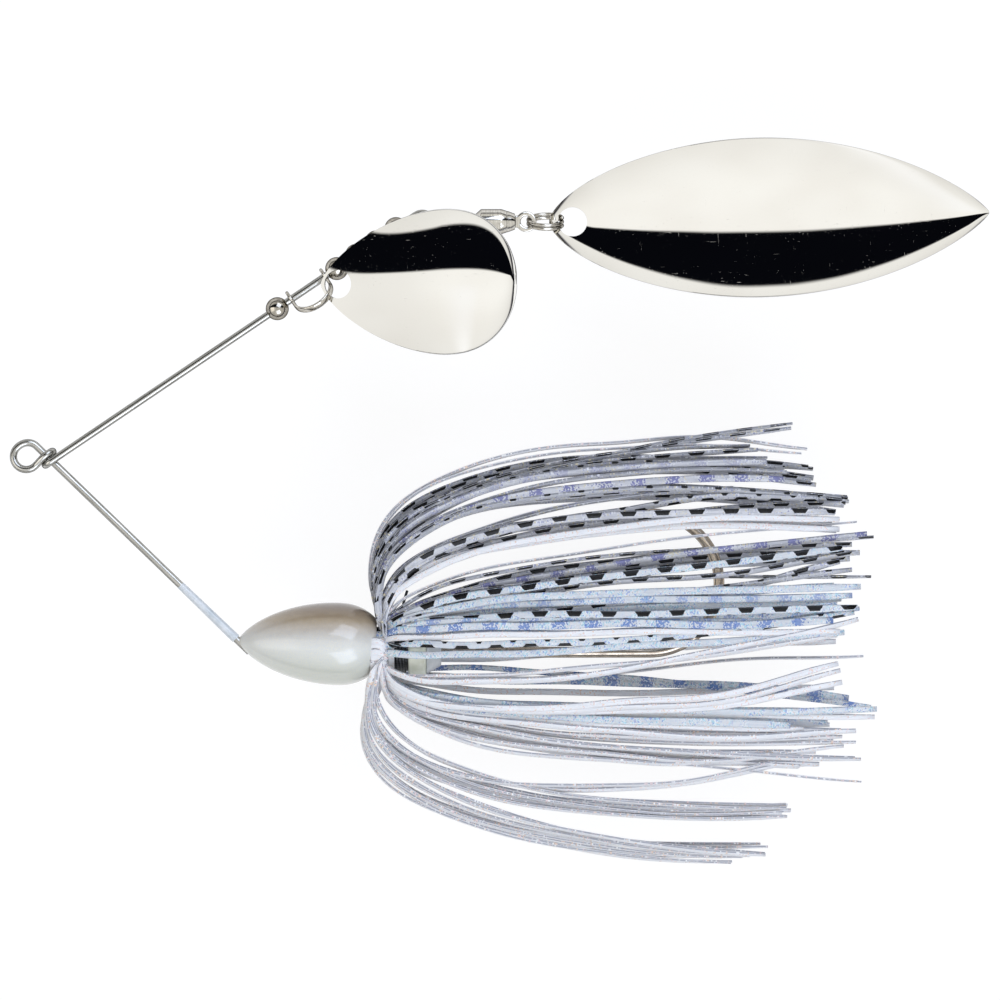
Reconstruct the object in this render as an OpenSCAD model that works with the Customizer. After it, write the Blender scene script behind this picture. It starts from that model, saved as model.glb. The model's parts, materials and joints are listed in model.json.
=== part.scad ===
// Spinnerbait: a bent-wire fishing lure with two spinner blades, a cast head,
// a hook and a flared silicone skirt. All sizes are millimetres and degrees.
// Origin: centre of the line-tie loop. +X runs aft along the hook shank,
// +Y from the hook shank towards the blades, +Z up from the side it lies on.

/* [Wire frame] */
// Diameter of the frame wire
wire_d = 0.9; // [0.8:0.05:1.1]
// Mean radius of the line-tie loop
tie_r = 1.6; // [1.4:0.05:2.2]
// Angle of the upper arm above +X
upper_angle = 34; // [30:1:38]
// Angle of the lower arm below +X
lower_angle = 44; // [40:1:48]
// Length of the lower arm from the loop to the head's nose
lower_len = 34.6; // [30:0.2:42]
// Length of the upper arm from the wrap to the end eye
upper_len = 54.2; // [53.8:0.2:62]
// Mean radius of the end eye that holds the swivel
end_r = 1.45; // [1.4:0.05:1.9]
// Turn of the end eye, which stops short of closing on the arm
end_turn = 272; // [255:1:275]

/* [Head] */
// Length of the head from the nose to its rear face
head_len = 17.1; // [15:0.1:22]
// Largest radius of the head
head_r = 5.1; // [4.6:0.1:6.5]
// Place of the largest radius, from the nose
head_peak = 12.3; // [10:0.1:14]
// Droop of the head's own axis towards the tail
head_droop = 1.8; // [0:0.1:3]
// Radius of the cast neck behind the head
neck_r = 1.45; // [1.2:0.05:1.7]
// Length of the painted coat that runs up the lower arm
coat_len = 9.5; // [4:0.5:16]

/* [Hook] */
// Diameter of the hook wire
hook_d = 1.33; // [1.1:0.01:1.5]
// Gap of the hook, shank axis to point axis
hook_gap = 17.1; // [14:0.1:19]
// Length of straight shank aft of the head's nose
shank_len = 50.85; // [44:0.05:56]
// Length of the point forward of the bend
point_len = 6.2; // [5:0.1:9]

/* [Skirt] */
// Outer radius of the black binding
binding_r = 2.7; // [2.6:0.05:3]
// Length of the binding along the shank
binding_len = 2.5; // [2:0.1:3.5]
// Outer radius of the cream collar
collar_r = 3.1; // [2.8:0.05:3.15]
// Length of the cream collar
collar_len = 2.2; // [1.6:0.1:3]
// Length of the clear trailer keeper
keeper_len = 1.8; // [1.2:0.1:3]
// Width of a skirt strand
strand_w = 1; // [0.7:0.05:1.2]
// Thickness of a skirt strand
strand_t = 0.2; // [0.16:0.01:0.24]
// Reach of the longest strands aft of the binding
strand_reach = 60; // [50:1:70]
// Half height of the whole fan of strands
fan_r = 27; // [24:0.5:29]
// Strands in each of the nested shells
strands_per_shell = 24; // [18:6:24]

/* [Blades] */
// Length of the teardrop (Colorado) blade
colorado_len = 24.8; // [23.5:0.1:25.5]
// Width of the teardrop blade
colorado_w = 17.9; // [16:0.1:18.5]
// Depth of the teardrop blade's dish
colorado_dish = 2.3; // [1.5:0.1:3]
// Radius of the hole in the teardrop blade
colorado_hole_r = 1.75; // [1.7:0.01:1.8]
// Rise of the teardrop blade towards its far end
colorado_tilt = 13.5; // [13:0.5:16]
// Length of the leaf-shaped (willow) blade
willow_len = 54.4; // [48:0.1:58]
// Width of the leaf-shaped blade
willow_w = 19.7; // [17:0.1:21]
// Depth of the leaf-shaped blade's dish
willow_dish = 2.8; // [2:0.1:3.4]
// Radius of the hole in the leaf-shaped blade
willow_hole_r = 1.8; // [1.7:0.01:1.9]
// Thickness of both blades
blade_t = 0.45; // [0.35:0.05:0.5]

/* [Beads and clevis] */
// Diameter of a bead
bead_d = 2.85; // [2.6:0.05:3]
// Distance of the front stop bead back from the upper arm's far end
stop_back = 20.6; // [20.2:0.1:22.2]
// Width of the clevis strap
strap_w = 0.85; // [0.7:0.05:0.95]
// Thickness of the clevis strap
strap_t = 0.4; // [0.3:0.02:0.44]
// Distance between the clevis ears
ear_span = 5.05; // [4.8:0.05:5.2]
// Depth of the clevis from the arm to its bight
clevis_depth = 4.3; // [4.2:0.05:4.6]
// Lean of the clevis out of the wire plane
clevis_lean = 53; // [50:1:56]

/* [Swivel and rings] */
// Outer radius of the swivel barrel
barrel_r = 1.55; // [1.5:0.05:1.7]
// Length of the swivel barrel
barrel_len = 4.05; // [3.9:0.05:4.6]
// Radius of the swivel's shaft
shaft_r = 0.5; // [0.45:0.01:0.55]
// Mean radius of the two rings
ring_r = 2; // [1.95:0.05:2.1]
// Diameter of the solid ring's wire
ring_d = 0.7; // [0.6:0.02:0.76]
// Diameter of the split ring's wire
split_d = 0.45; // [0.4:0.01:0.48]

/* [Hidden] */

// Clearances
running_gap = 0.05;
cast_gap = 0.02;
seat_gap = 0.05;
wrap_gap = 0.03;

// Directions of the two arms and their in-plane normals
z_up = [0, 0, 1];
low_dir = [cos(lower_angle), -sin(lower_angle), 0];
low_side = [sin(lower_angle), cos(lower_angle), 0];
up_dir = [cos(upper_angle), sin(upper_angle), 0];
up_side = [sin(upper_angle), -cos(upper_angle), 0];

// Line-tie loop, and the wrap of the wire round its own lower arm
tie_ease = 0.2;
wire_r = wire_d / 2;
wrap_r = wire_d + wrap_gap;
wrap_start = tie_r + 0.05;
wrap_pitch = wire_d + 0.1;
tie_foot = (tie_r + tie_ease) * low_side;
wrap_end = wrap_start + wrap_pitch;
up_start = tie_foot + wrap_end * low_dir + wrap_r * z_up;
sweep_sides = 12;
sweep_trim = 0.005;

// End eye of the upper arm
end_top = up_start + upper_len * up_dir;
end_eye = end_top + end_r * up_side;

// Head and hook axes
nose = tie_foot + lower_len * low_dir;
tail_gap = 0.08;
tail_lift = (wire_d + hook_d) / 2 + tail_gap;
tail_bend_r = 0.8;
tail_len = 9;
shank_y = nose[1] - tail_lift - tail_bend_r * (1 - cos(lower_angle));
shank_at = [nose[0], shank_y, 0];
hook_r = hook_d / 2;
eye_ring_r = 1.15;
eye_wire_r = 0.5;
eye_at = 5.2;
head_rear_span = 5.9;
head_steps = 40;

// Stations along the shank, from the nose
neck_start = head_len - 1.5;
core_start = head_len + seat_gap;
flange_len = 1.3;
binding_start = core_start + flange_len + seat_gap;
collar_start = binding_start + binding_len + seat_gap;
keeper_start = collar_start + collar_len + seat_gap;
core_r = binding_r - 0.45;
flange_r = binding_r + 0.3;

// Skirt shells: the first folds widest, each next one nests inside it
shell_share = [1, 0.82, 0.62, 0.4];
// Room that each shell has behind the shank, and its way clear of the hook
shell_room = [1.74, 1.26, 0.78, 0.3];
shell_clear = [0, 0, 10, 16];
shell_step = 0.26;
root_inset = 0.4;
strand_rings = 13;
strand_root_w = 0.48;
strand_root_t = 0.12;
golden = 0.618034;
front_squash = 0.22;

// Upper-arm stations
bead_r = bead_d / 2;
ear_r = 1.15;
ear_t = strap_t;
stop_at = upper_len - stop_back;
ear_1 = stop_at + bead_r + running_gap + ear_t + 0.2;
ear_2 = ear_1 + ear_span;
bead_1_at = ear_2 + ear_t / 2 + running_gap + bead_r + 0.05;
bead_pitch = bead_d + 0.09;
clevis_mid = (ear_1 + ear_2) / 2;
clevis_out = cos(clevis_lean) * up_side + sin(clevis_lean) * z_up;

// Teardrop blade: its hole hangs on the far leg of the clevis
colorado_turn = 2.9;
colorado_edge = 0.5;
colorado_hole_at = colorado_hole_r + colorado_edge;
colorado_hole_s = ear_2 + 0.9;
colorado_hole_v = 1.85;
colorado_lift = 2.15;
colorado_hole_pos = up_start + colorado_hole_s * up_dir + colorado_hole_v * up_side
                    + colorado_lift * z_up;

// Swivel chain along +X from the end eye
eye_free = end_r - wire_r - ring_d / 2 - running_gap;
chain_lift = 0.7 * eye_free;
ring_pin = end_eye + [sqrt(pow(eye_free, 2) - pow(chain_lift, 2)), chain_lift, 0];
ring_mid = ring_pin + [ring_r, 0, 0];
tab_hole_r = 0.56;
tab_half = 0.83;
tab_t = 0.6;
tab_wall = 0.42;
eye_hole_x = ring_r + tab_hole_r - ring_d / 2 - running_gap;
eye_hole = ring_mid + [eye_hole_x, 0, 0];
barrel_gap = 1.8;
barrel_at = eye_hole + [barrel_gap, 0, 0];
barrel_lip = 0.75;
cavity_r = 1.12;
ball_r = 0.25;
ball_count = 8;
end_tab_x = barrel_len + 1;
end_hole_r = 0.68;
end_tab_t = 0.45;
end_hole = barrel_at + [end_tab_x + 1.38, 0, 0];
split_r = ring_r + 0.1;
split_tilt = 18;
split_pitch = split_d + 0.02;
split_side = (split_pitch + end_tab_t * tan(split_tilt)) / 2;
split_slack = 0.05;
split_free = end_hole_r - split_d / 2 - running_gap / 2;
split_pin = end_hole + [sqrt(pow(split_free, 2) - pow(split_side, 2)) - split_slack, 0, 0];
split_mid = split_pin + [split_r, 0, 0];
willow_edge = 1.15;
willow_hole_at = willow_hole_r + willow_edge;
willow_hang = 0.3;
willow_hole_x = split_r + willow_hole_r - split_d / 2 - willow_hang;
willow_hole_pos = split_mid + [willow_hole_x, 0, 0];
willow_turn = 1.25;

// ---------- vectors, curves and swept forms ----------

function unit(v) = v / norm(v);
function ease(t) = let (c = max(0, min(1, t))) c * c * (3 - 2 * c);
function frac(t) = t - floor(t);

// Direction of a path at each of its points
function headings(path) =
    let (last = len(path) - 1)
    [for (i = [0:last]) unit(path[min(i + 1, last)] - path[max(i - 1, 0)])];

// A side vector carried along the path with no twist of its own
function across(side, heading) = unit(side - (side * heading) * heading);
function carried(head, side, i = 0) =
    i >= len(head) ? []
    : let (here = across(side, head[i])) concat([here], carried(head, here, i + 1));

// Points of a section swept along a path; section(i) is a list of [side, up]
function swept_points(path, head, side, sections) =
    [for (i = [0:len(path) - 1])
        for (q = sections[i])
            path[i] + q[0] * side[i] + q[1] * cross(head[i], side[i])];

// Faces of one closed tube of n rings with k corners, from point number base
function tube_faces(n, k, base = 0) = concat(
    [[for (j = [0:k - 1]) base + j]],
    [for (i = [0:n - 2]) for (j = [0:k - 1])
        let (a = base + i * k + j, b = base + i * k + (j + 1) % k)
        each [[a, a + k, b], [b, a + k, b + k]]],
    [[for (j = [k - 1:-1:0]) base + (n - 1) * k + j]]);

module sweep_wire(path, r, first_side) {
    head = headings(path);
    side = carried(head, first_side);
    circle_pts = [for (j = [0:sweep_sides - 1])
        r * [cos(360 * j / sweep_sides), sin(360 * j / sweep_sides)]];
    sections = [for (p = path) circle_pts];
    polyhedron(swept_points(path, head, side, sections),
               tube_faces(len(path), sweep_sides), convexity = 6);
}

// A straight round wire from one point to another
module rod(from, to, r) {
    run = to - from;
    translate(from)
        rotate([0, acos(run[2] / norm(run)), atan2(run[1], run[0])])
            cylinder(h = norm(run), r = r, $fn = 48);
}

// ---------- wire frame ----------

// The loop eases from the arm's line into a circle, and rises towards the wrap
tie_from = 90 - lower_angle;
tie_to = 310;
tie_mid_z = wrap_r * 0.5;
function tie_point(a) =
    let (pull = a - tie_from < 90 ? (1 + cos(2 * (a - tie_from))) / 2 : 0,
         r = tie_r + tie_ease * pull)
    [r * cos(a), r * sin(a), tie_mid_z * ease((a - 150) / (tie_to - 150))];
function wrap_point(a) =
    tie_foot + (wrap_start + wrap_pitch * a / 360) * low_dir
    + wrap_r * (cos(a) * z_up + sin(a) * low_side);

// Cubic curve from one point and slope to another
function hermite(p, pd, q, qd, t) =
    (2 * pow(t, 3) - 3 * pow(t, 2) + 1) * p + (pow(t, 3) - 2 * pow(t, 2) + t) * pd
    + (3 * pow(t, 2) - 2 * pow(t, 3)) * q + (pow(t, 3) - pow(t, 2)) * qd;

loop_steps = 22;
wrap_steps = 20;
bridge_steps = 5;
bridge_pull = 1.6;
lead_in = 0.4;
tie_tangent = [-sin(tie_to), cos(tie_to), 0];
wrap_tangent = unit(wrap_point(2) - wrap_point(-2));
tie_path = concat(
    [tie_foot + lead_in * low_dir],
    [for (i = [0:loop_steps]) tie_point(tie_from + (tie_to - tie_from) * i / loop_steps)],
    [for (i = [1:bridge_steps - 1])
        hermite(tie_point(tie_to), bridge_pull * tie_tangent,
                wrap_point(0), bridge_pull * wrap_tangent, i / bridge_steps)],
    [for (i = [0:wrap_steps]) wrap_point(360 * i / wrap_steps)],
    [up_start + lead_in * up_dir]);

// The lower arm, drawn from the nose: straight back up the arm, and into the
// casting with a bend and a tail beside the hook shank
module lower_wire(extra = 0) {
    r = wire_r + extra;
    run = lower_len - lead_in * 0.75;
    translate(nose)
        rotate([0, 0, -lower_angle]) {
            translate([-run, 0, 0]) rotate([0, 90, 0]) cylinder(h = run, r = r, $fn = 48);
            translate([0, tail_bend_r, 0]) {
                rotate([0, 0, -90])
                    rotate_extrude(angle = lower_angle, $fn = 96)
                        translate([tail_bend_r, 0]) circle(r = r, $fn = 32);
                rotate([0, 0, lower_angle])
                    translate([0, -tail_bend_r, 0])
                        rotate([0, 90, 0]) cylinder(h = tail_len, r = r, $fn = 48);
            }
        }
}

// The upper arm, drawn from its far end: straight back to the wrap, and round
// the end eye
module upper_wire() {
    run = upper_len - lead_in * 0.75;
    translate(end_top)
        rotate([0, 0, upper_angle]) {
            translate([-run, 0, 0])
                rotate([0, 90, 0]) cylinder(h = run, r = wire_r, $fn = 48);
            translate([0, -end_r, 0])
                rotate([0, 0, 90 - end_turn])
                    rotate_extrude(angle = end_turn, $fn = 96)
                        translate([end_r, 0]) circle(r = wire_r, $fn = 32);
        }
}

module wire_frame() {
    color("silver") {
        sweep_wire(tie_path, wire_r - sweep_trim, z_up);
        lower_wire();
        upper_wire();
    }
}

// Painted coat on the last stretch of the lower arm, thickest at the nose
coat_nose_t = 0.14;
coat_tip_t = 0.05;
coat_end = 0.35;
coat_sides = 24;
module arm_coat() {
    rings = [[0, wire_r + coat_nose_t], [coat_len, wire_r + coat_tip_t],
             [coat_len, wire_r + cast_gap], [0, wire_r + cast_gap]];
    points = [for (q = rings) for (i = [0:coat_sides - 1])
        [q[1] * cos(360 * i / coat_sides), q[1] * sin(360 * i / coat_sides), q[0]]];
    faces = [for (k = [0:3]) for (i = [0:coat_sides - 1])
        let (j = (i + 1) % coat_sides, n = (k + 1) % 4)
            [k * coat_sides + i, n * coat_sides + i, n * coat_sides + j,
             k * coat_sides + j]];
    color("lightblue")
        translate(nose - coat_end * low_dir)
            rotate([0, 90, 180 - lower_angle])
                polyhedron(points, faces, convexity = 4);
}

// ---------- head ----------

// Radius at a distance from the nose: a pointed bow, then a rounded stern
function head_radius(x) =
    x < head_peak
        ? head_r * pow(1 - pow((head_peak - x) / head_peak, 2), 0.71)
        : head_r * sqrt(max(0, 1 - pow((x - head_peak)
              / (head_len - head_peak) * head_stern, 2.2)));
head_stern = 0.81;

module head() {
    profile = concat(
        [[0, 0]],
        [for (i = [0:head_steps])
            let (x = head_len * pow(i / head_steps, 1.3)) [max(head_radius(x), 0.04), x]],
        [[0, head_len]]);
    color("ivory")
        difference() {
            union() {
                translate(nose)
                    rotate([0, 90, -head_droop])
                        rotate_extrude($fn = 96) polygon(profile);
                translate(shank_at + [neck_start, 0, 0])
                    rotate([0, 90, 0])
                        cylinder(h = keeper_start - seat_gap - neck_start,
                                 r = neck_r, $fn = 64);
            }
            lower_wire(cast_gap);
            hook_shank(cast_gap);
        }
}

// ---------- hook ----------

bend_r = hook_gap / 2;
bend_at = shank_at + [shank_len, bend_r, 0];
point_taper = 3.4;
barb_back = 3.6;
barb_rise = 0.55;
barb_len = 2.2;
barb_t = 0.4;

module hook_shank(extra = 0) {
    r = hook_r + extra;
    eye_mid = shank_at + [eye_at, 0, 0];
    translate(eye_mid)
        rotate([90, 0, 0])
            rotate_extrude($fn = 96)
                translate([eye_ring_r, 0]) circle(r = eye_wire_r + extra, $fn = 32);
    rod(eye_mid + [eye_ring_r - 0.2, 0, 0], shank_at + [shank_len, 0, 0], r);
}

module hook() {
    tip_root = bend_at + [-(point_len - point_taper), bend_r, 0];
    color("rosybrown") {
        hook_shank();
        translate(bend_at)
            rotate([0, 0, -90])
                rotate_extrude(angle = 180, $fn = 128)
                    translate([bend_r, 0]) circle(r = hook_r, $fn = 48);
        rod(bend_at + [0, bend_r, 0], tip_root, hook_r);
        translate(tip_root)
            rotate([0, -90, 0])
                cylinder(h = point_taper, r1 = hook_r, r2 = 0.06, $fn = 48);
        // Barb: a small spur raised on the inner side of the point
        translate(tip_root + [-0.3, 0, -barb_t / 2])
            linear_extrude(barb_t)
                polygon([[-1.2, -hook_r * 0.55], [barb_len - 1.2, -hook_r - barb_rise],
                         [barb_len - 1.5, -hook_r * 0.5]]);
    }
}

// ---------- skirt ----------

module on_shank(x) {
    translate(shank_at + [x, 0, 0]) rotate([0, 90, 0]) children();
}

// Gathered middles of the strands: a sleeve on the neck with a front flange
module skirt_core() {
    bore = neck_r + cast_gap;
    color("lightsteelblue")
        on_shank(core_start)
            rotate_extrude($fn = 96)
                polygon([[bore, 0], [flange_r, 0], [flange_r, flange_len],
                         [core_r, flange_len], [core_r, flange_len + seat_gap + binding_len],
                         [bore, flange_len + seat_gap + binding_len]]);
}

// Binding: turns of black thread side by side, with one twisted end
turns = 5;
thread_r = binding_len / turns / 2;
tail_rise = 5.2;
module skirt_binding() {
    inner = core_r + cast_gap;
    outline = concat(
        [[inner, 0]],
        [for (k = [0:turns - 1]) for (a = [-80:32:80])
            [binding_r - thread_r + thread_r * cos(a),
             thread_r * (2 * k + 1) + thread_r * sin(a)]],
        [[inner, binding_len]]);
    tail_foot = shank_at + [binding_start + binding_len * 0.6, binding_r - 0.25, 0.3];
    tail_path = [for (t = [0:0.125:1])
        tail_foot + [0.9 * t * t, tail_rise * t, 0.5 * sin(180 * t)]];
    color("black") {
        on_shank(binding_start) rotate_extrude($fn = 96) polygon(outline);
        sweep_wire(tail_path, 0.17, [1, 0, 0]);
    }
}

module skirt_collar() {
    bevel = 0.3;
    color("lemonchiffon")
        on_shank(collar_start)
            rotate_extrude($fn = 96)
                polygon([[neck_r + cast_gap, 0], [collar_r - bevel, 0], [collar_r, bevel],
                         [collar_r, collar_len - bevel], [collar_r - bevel, collar_len],
                         [neck_r + cast_gap, collar_len]]);
}

module trailer_keeper() {
    color("whitesmoke", 0.5)
        on_shank(keeper_start)
            difference() {
                cylinder(h = keeper_len, r1 = collar_r - 0.4, r2 = neck_r + 0.2, $fn = 64);
                translate([0, 0, -1])
                    cylinder(h = keeper_len + 2, r = hook_r + cast_gap, $fn = 64);
            }
}

// A strand leaves the flange outward, folds forward and streams aft.
// u runs along it; turn is its angle round the shank from +Y towards +Z.
fold_forward = 4.3;
fold_rise = 0.32;
sweep_back = 6.5;
fan_keep = flange_r + seat_gap;
function shell_r(shell, turn) =
    fan_r * shell_share[shell] * (0.97 + 0.03 * cos(turn));
function strand_tip(shell, i) =
    strand_reach - 13 * shell_share[shell] * frac(i * golden + shell * 0.31)
    - 3 * shell_share[shell];
function bezier(a, b, c, d, t) =
    pow(1 - t, 3) * a + 3 * pow(1 - t, 2) * t * b + 3 * (1 - t) * t * t * c
    + pow(t, 3) * d;
// Past the flange the strands lie down: on the back each shell keeps to a layer
// of its own, and on the front the depth is only pressed together
function lie_down(w, room) =
    let (over = max(0, abs(w) - fan_keep),
         depth = w < 0 ? room * (1 - exp(-over / room)) : front_squash * over)
    sign(w) * (min(abs(w), fan_keep) + depth);
function strand_point(shell, turn, tip, t) =
    let (far = shell_r(shell, turn), root_x = core_start + root_inset + shell * shell_step,
         share = shell_share[shell],
         x = bezier(root_x, root_x - (fold_forward - 0.7 * cos(turn)) * share,
                    root_x + sweep_back * share, core_start + tip, t),
         r = bezier(fan_keep, fan_keep + fold_rise * far,
                    far * 0.99, far, t))
    shank_at + [x, r * cos(turn), lie_down(r * sin(turn), shell_room[shell])];

function strand_path(shell, turn, tip) =
    [for (i = [0:strand_rings - 1])
        strand_point(shell, turn, tip, pow(i / (strand_rings - 1), 1.25))];

// At the root the width lies round the fan. Further on the strand rolls over,
// until its flat side faces up, give or take its own twist.
strand_twist = 24;
function strand_side(turn, heading, i) =
    let (round = [0, -sin(turn), cos(turn)],
         flat = (sin(turn) < 0 ? 1 : -1) * cross(z_up, heading), g = ease((i - 3) / 4))
    across((1 - g) * round + g * flat, heading);
function strand_sections(twist) =
    [for (i = [0:strand_rings - 1])
        let (g = ease(i / 5), w = strand_root_w + (strand_w - strand_root_w) * g,
             h = strand_root_t + (strand_t - strand_root_t) * g, roll = twist * ease((i - 6) / 4))
        [for (q = [[1, 1], [-1, 1], [-1, -1], [1, -1]])
            [q[0] * w / 2 * cos(roll) - q[1] * h / 2 * sin(roll),
             q[0] * w / 2 * sin(roll) + q[1] * h / 2 * cos(roll)]]];

function strand_turn(shell, i) =
    let (share = (i + 0.5 + 0.12 * (frac(i * golden + shell * 0.47) - 0.5)) / strands_per_shell)
    shell_clear[shell] + (360 - 2 * shell_clear[shell]) * share;

module strands(low, high) {
    picked = [for (shell = [0:len(shell_share) - 1]) for (i = [0:strands_per_shell - 1])
        let (turn = strand_turn(shell, i)) if (turn >= low && turn < high) [shell, i, turn]];
    points = [for (p = picked)
        let (path = strand_path(p[0], p[2], strand_tip(p[0], p[1])),
             head = headings(path),
             side = [for (i = [0:strand_rings - 1]) strand_side(p[2], head[i], i)],
             twist = strand_twist * (frac(p[1] * golden + p[0] * 0.73) - 0.5))
        each swept_points(path, head, side, strand_sections(twist))];
    faces = [for (k = [0:len(picked) - 1])
        each tube_faces(strand_rings, 4, k * strand_rings * 4)];
    polyhedron(points, faces, convexity = 10);
}

// Turns at which one group of strands ends and the next begins
skirt_cuts = [0, 55, 120, 180, 245, 305, 375];
module skirt_upper_front() {
    color("slategray") strands(skirt_cuts[0], skirt_cuts[1]);
}
module skirt_side_front() {
    color("lightskyblue") strands(skirt_cuts[1], skirt_cuts[2]);
}
module skirt_lower_front() {
    color("gainsboro") strands(skirt_cuts[2], skirt_cuts[3]);
}
module skirt_lower_back() {
    color("lightgray") strands(skirt_cuts[3], skirt_cuts[4]);
}
module skirt_side_back() {
    color("powderblue") strands(skirt_cuts[4], skirt_cuts[5]);
}
module skirt_upper_back() {
    color("lightslategray") strands(skirt_cuts[5], skirt_cuts[6]);
}

// ---------- beads ----------

module on_arm(s) {
    translate(up_start + s * up_dir) rotate([0, 90, upper_angle]) children();
}

module bead(s, bore_r) {
    color("dimgray")
        on_arm(s)
            difference() {
                sphere(d = bead_d, $fn = 48);
                cylinder(h = bead_d * 2, r = bore_r, center = true, $fn = 48);
            }
}
module stop_bead() {
    bead(stop_at, wire_r);
}
module bead_1() {
    bead(bead_1_at, wire_r + running_gap);
}
module bead_2() {
    bead(bead_1_at + bead_pitch, wire_r + running_gap);
}
module bead_3() {
    bead(bead_1_at + 2 * bead_pitch, wire_r + running_gap);
}
module bead_4() {
    bead(bead_1_at + 3 * bead_pitch, wire_r + running_gap);
}

// ---------- clevis ----------

// The strap's path in its own plane: [along the arm, out from the arm]
strap_arc_r = ear_span / 2;
strap_leg = clevis_depth - strap_arc_r;
strap_steps = 16;
strap_path = concat(
    [for (d = [0.75, strap_leg]) clevis_place(-strap_arc_r, d)],
    [for (i = [1:strap_steps - 1])
        let (a = 180 - 180 * i / strap_steps)
        clevis_place(strap_arc_r * cos(a), strap_leg + strap_arc_r * sin(a))],
    [for (d = [strap_leg, 0.75]) clevis_place(strap_arc_r, d)]);
function clevis_place(s, out) =
    up_start + (clevis_mid + s) * up_dir + out * clevis_out;

module clevis() {
    head = headings(strap_path);
    side = carried(head, cross(up_dir, clevis_out));
    bar = [[strap_w / 2, strap_t / 2], [-strap_w / 2, strap_t / 2],
           [-strap_w / 2, -strap_t / 2], [strap_w / 2, -strap_t / 2]];
    color("silver")
        difference() {
            union() {
                polyhedron(swept_points(strap_path, head, side, [for (p = strap_path) bar]),
                           tube_faces(len(strap_path), 4), convexity = 4);
                for (s = [ear_1, ear_2])
                    on_arm(s) cylinder(h = ear_t, r = ear_r, center = true, $fn = 48);
            }
            on_arm(clevis_mid)
                cylinder(h = ear_span * 2, r = wire_r + running_gap, center = true, $fn = 48);
        }
}

// ---------- blades ----------

// Half width of a blade at a share u of its length: a bow before the widest
// place, a stern after it, each a power curve
function blade_half(u, peak, bow, stern) =
    u < peak
        ? pow(1 - pow((peak - u) / peak, bow[0]), bow[1])
        : pow(1 - pow((u - peak) / (1 - peak), stern[0]), stern[1]);

colorado_shape = [0.63, [1.7, 0.7], [2.3, 0.5]];
willow_shape = [0.475, [1.9, 0.64], [2, 0.8]];
blade_rows = 30;
blade_cols = 10;

// A dished sheet in its own frame: tip at the origin, length along +X,
// rim in the XY plane, dish towards +Z when dish is positive
module blade(length, width, dish, thick, shape, hole_at, hole_r) {
    rows = [for (i = [0:blade_rows]) (1 - cos(180 * i / blade_rows)) / 2 * 0.996 + 0.002];
    under = [for (u = rows) for (j = [0:blade_cols])
        let (half = width / 2 * blade_half(u, shape[0], shape[1], shape[2]),
             v = 2 * j / blade_cols - 1,
             crown = dish * (1 - v * v) * pow(half / (width / 2), 1.5))
        [u * length, v * half, crown]];
    over = [for (p = under) p + [0, 0, thick]];
    n = (blade_rows + 1) * (blade_cols + 1);
    w = blade_cols + 1;
    skin = [for (i = [0:blade_rows - 1]) for (j = [0:blade_cols - 1])
        let (a = i * w + j) each [[a, a + w, a + 1], [a + 1, a + w, a + w + 1]]];
    edge = concat(
        [for (j = [0:blade_cols - 1]) [j + 1, j]],
        [for (i = [0:blade_rows - 1]) [i * w, (i + 1) * w]],
        [for (j = [0:blade_cols - 1]) [blade_rows * w + j, blade_rows * w + j + 1]],
        [for (i = [0:blade_rows - 1]) [(i + 1) * w + blade_cols, i * w + blade_cols]]);
    faces = concat(
        [for (f = skin) [f[0], f[1], f[2]]],
        [for (f = skin) [f[0] + n, f[2] + n, f[1] + n]],
        [for (e = edge) each [[e[0], e[0] + n, e[1]], [e[1], e[0] + n, e[1] + n]]]);
    difference() {
        polyhedron(concat(under, over), faces, convexity = 6);
        translate([hole_at, 0, -5]) cylinder(h = 10, r = hole_r, $fn = 64);
    }
}

module colorado_blade() {
    color("silver")
        translate(colorado_hole_pos)
            rotate([0, 0, colorado_turn])
                rotate([0, -colorado_tilt, 0])
                    translate([-colorado_hole_at, 0, 0])
                        blade(colorado_len, colorado_w, colorado_dish, blade_t,
                              colorado_shape, colorado_hole_at, colorado_hole_r);
}

module willow_blade() {
    color("silver")
        translate(willow_hole_pos)
            rotate([0, 0, willow_turn])
                translate([-willow_hole_at, 0, -blade_t / 2])
                    blade(willow_len, willow_w, -willow_dish, blade_t,
                          willow_shape, willow_hole_at, willow_hole_r);
}

// ---------- swivel and rings ----------

module swivel_ring() {
    color("silver")
        translate(ring_mid)
            rotate([90, 0, 0])
                rotate_extrude($fn = 96)
                    translate([ring_r, 0]) circle(d = ring_d, $fn = 32);
}

// A flat eye: round end with a hole, running back into its stem
module flat_eye(hole_r, wall, back, thick) {
    difference() {
        union() {
            cylinder(h = thick, r = hole_r + wall, center = true, $fn = 48);
            translate([0, -tab_half * 0.9, -thick / 2])
                cube([back, tab_half * 1.8, thick]);
        }
        cylinder(h = thick * 3, r = hole_r, center = true, $fn = 48);
    }
}

flange_x = barrel_lip + 2 * (ball_r + running_gap);
module swivel_eye() {
    stem = barrel_gap + flange_x;
    color("silver")
        translate(eye_hole) {
            flat_eye(tab_hole_r, tab_wall, barrel_gap - 0.35, tab_t);
            translate([barrel_gap - 0.6, 0, 0])
                rotate([0, 90, 0])
                    cylinder(h = stem - barrel_gap + 0.9, r = shaft_r, $fn = 48);
            translate([stem, 0, 0])
                rotate([0, 90, 0]) cylinder(h = 0.7, r = cavity_r - 0.15, $fn = 48);
        }
}

module swivel_barrel() {
    mouth_r = barrel_r / 2;
    rear_r = barrel_r - 0.22;
    color("silver")
        translate(barrel_at)
            rotate([0, 90, 0])
                rotate_extrude($fn = 96)
                    polygon([[shaft_r + running_gap, 0], [mouth_r, 0],
                             [barrel_r, 0.85], [barrel_r, barrel_len - 0.7],
                             [rear_r, barrel_len], [cavity_r, barrel_len],
                             [cavity_r, barrel_lip], [shaft_r + running_gap, barrel_lip]]);
}

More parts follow.
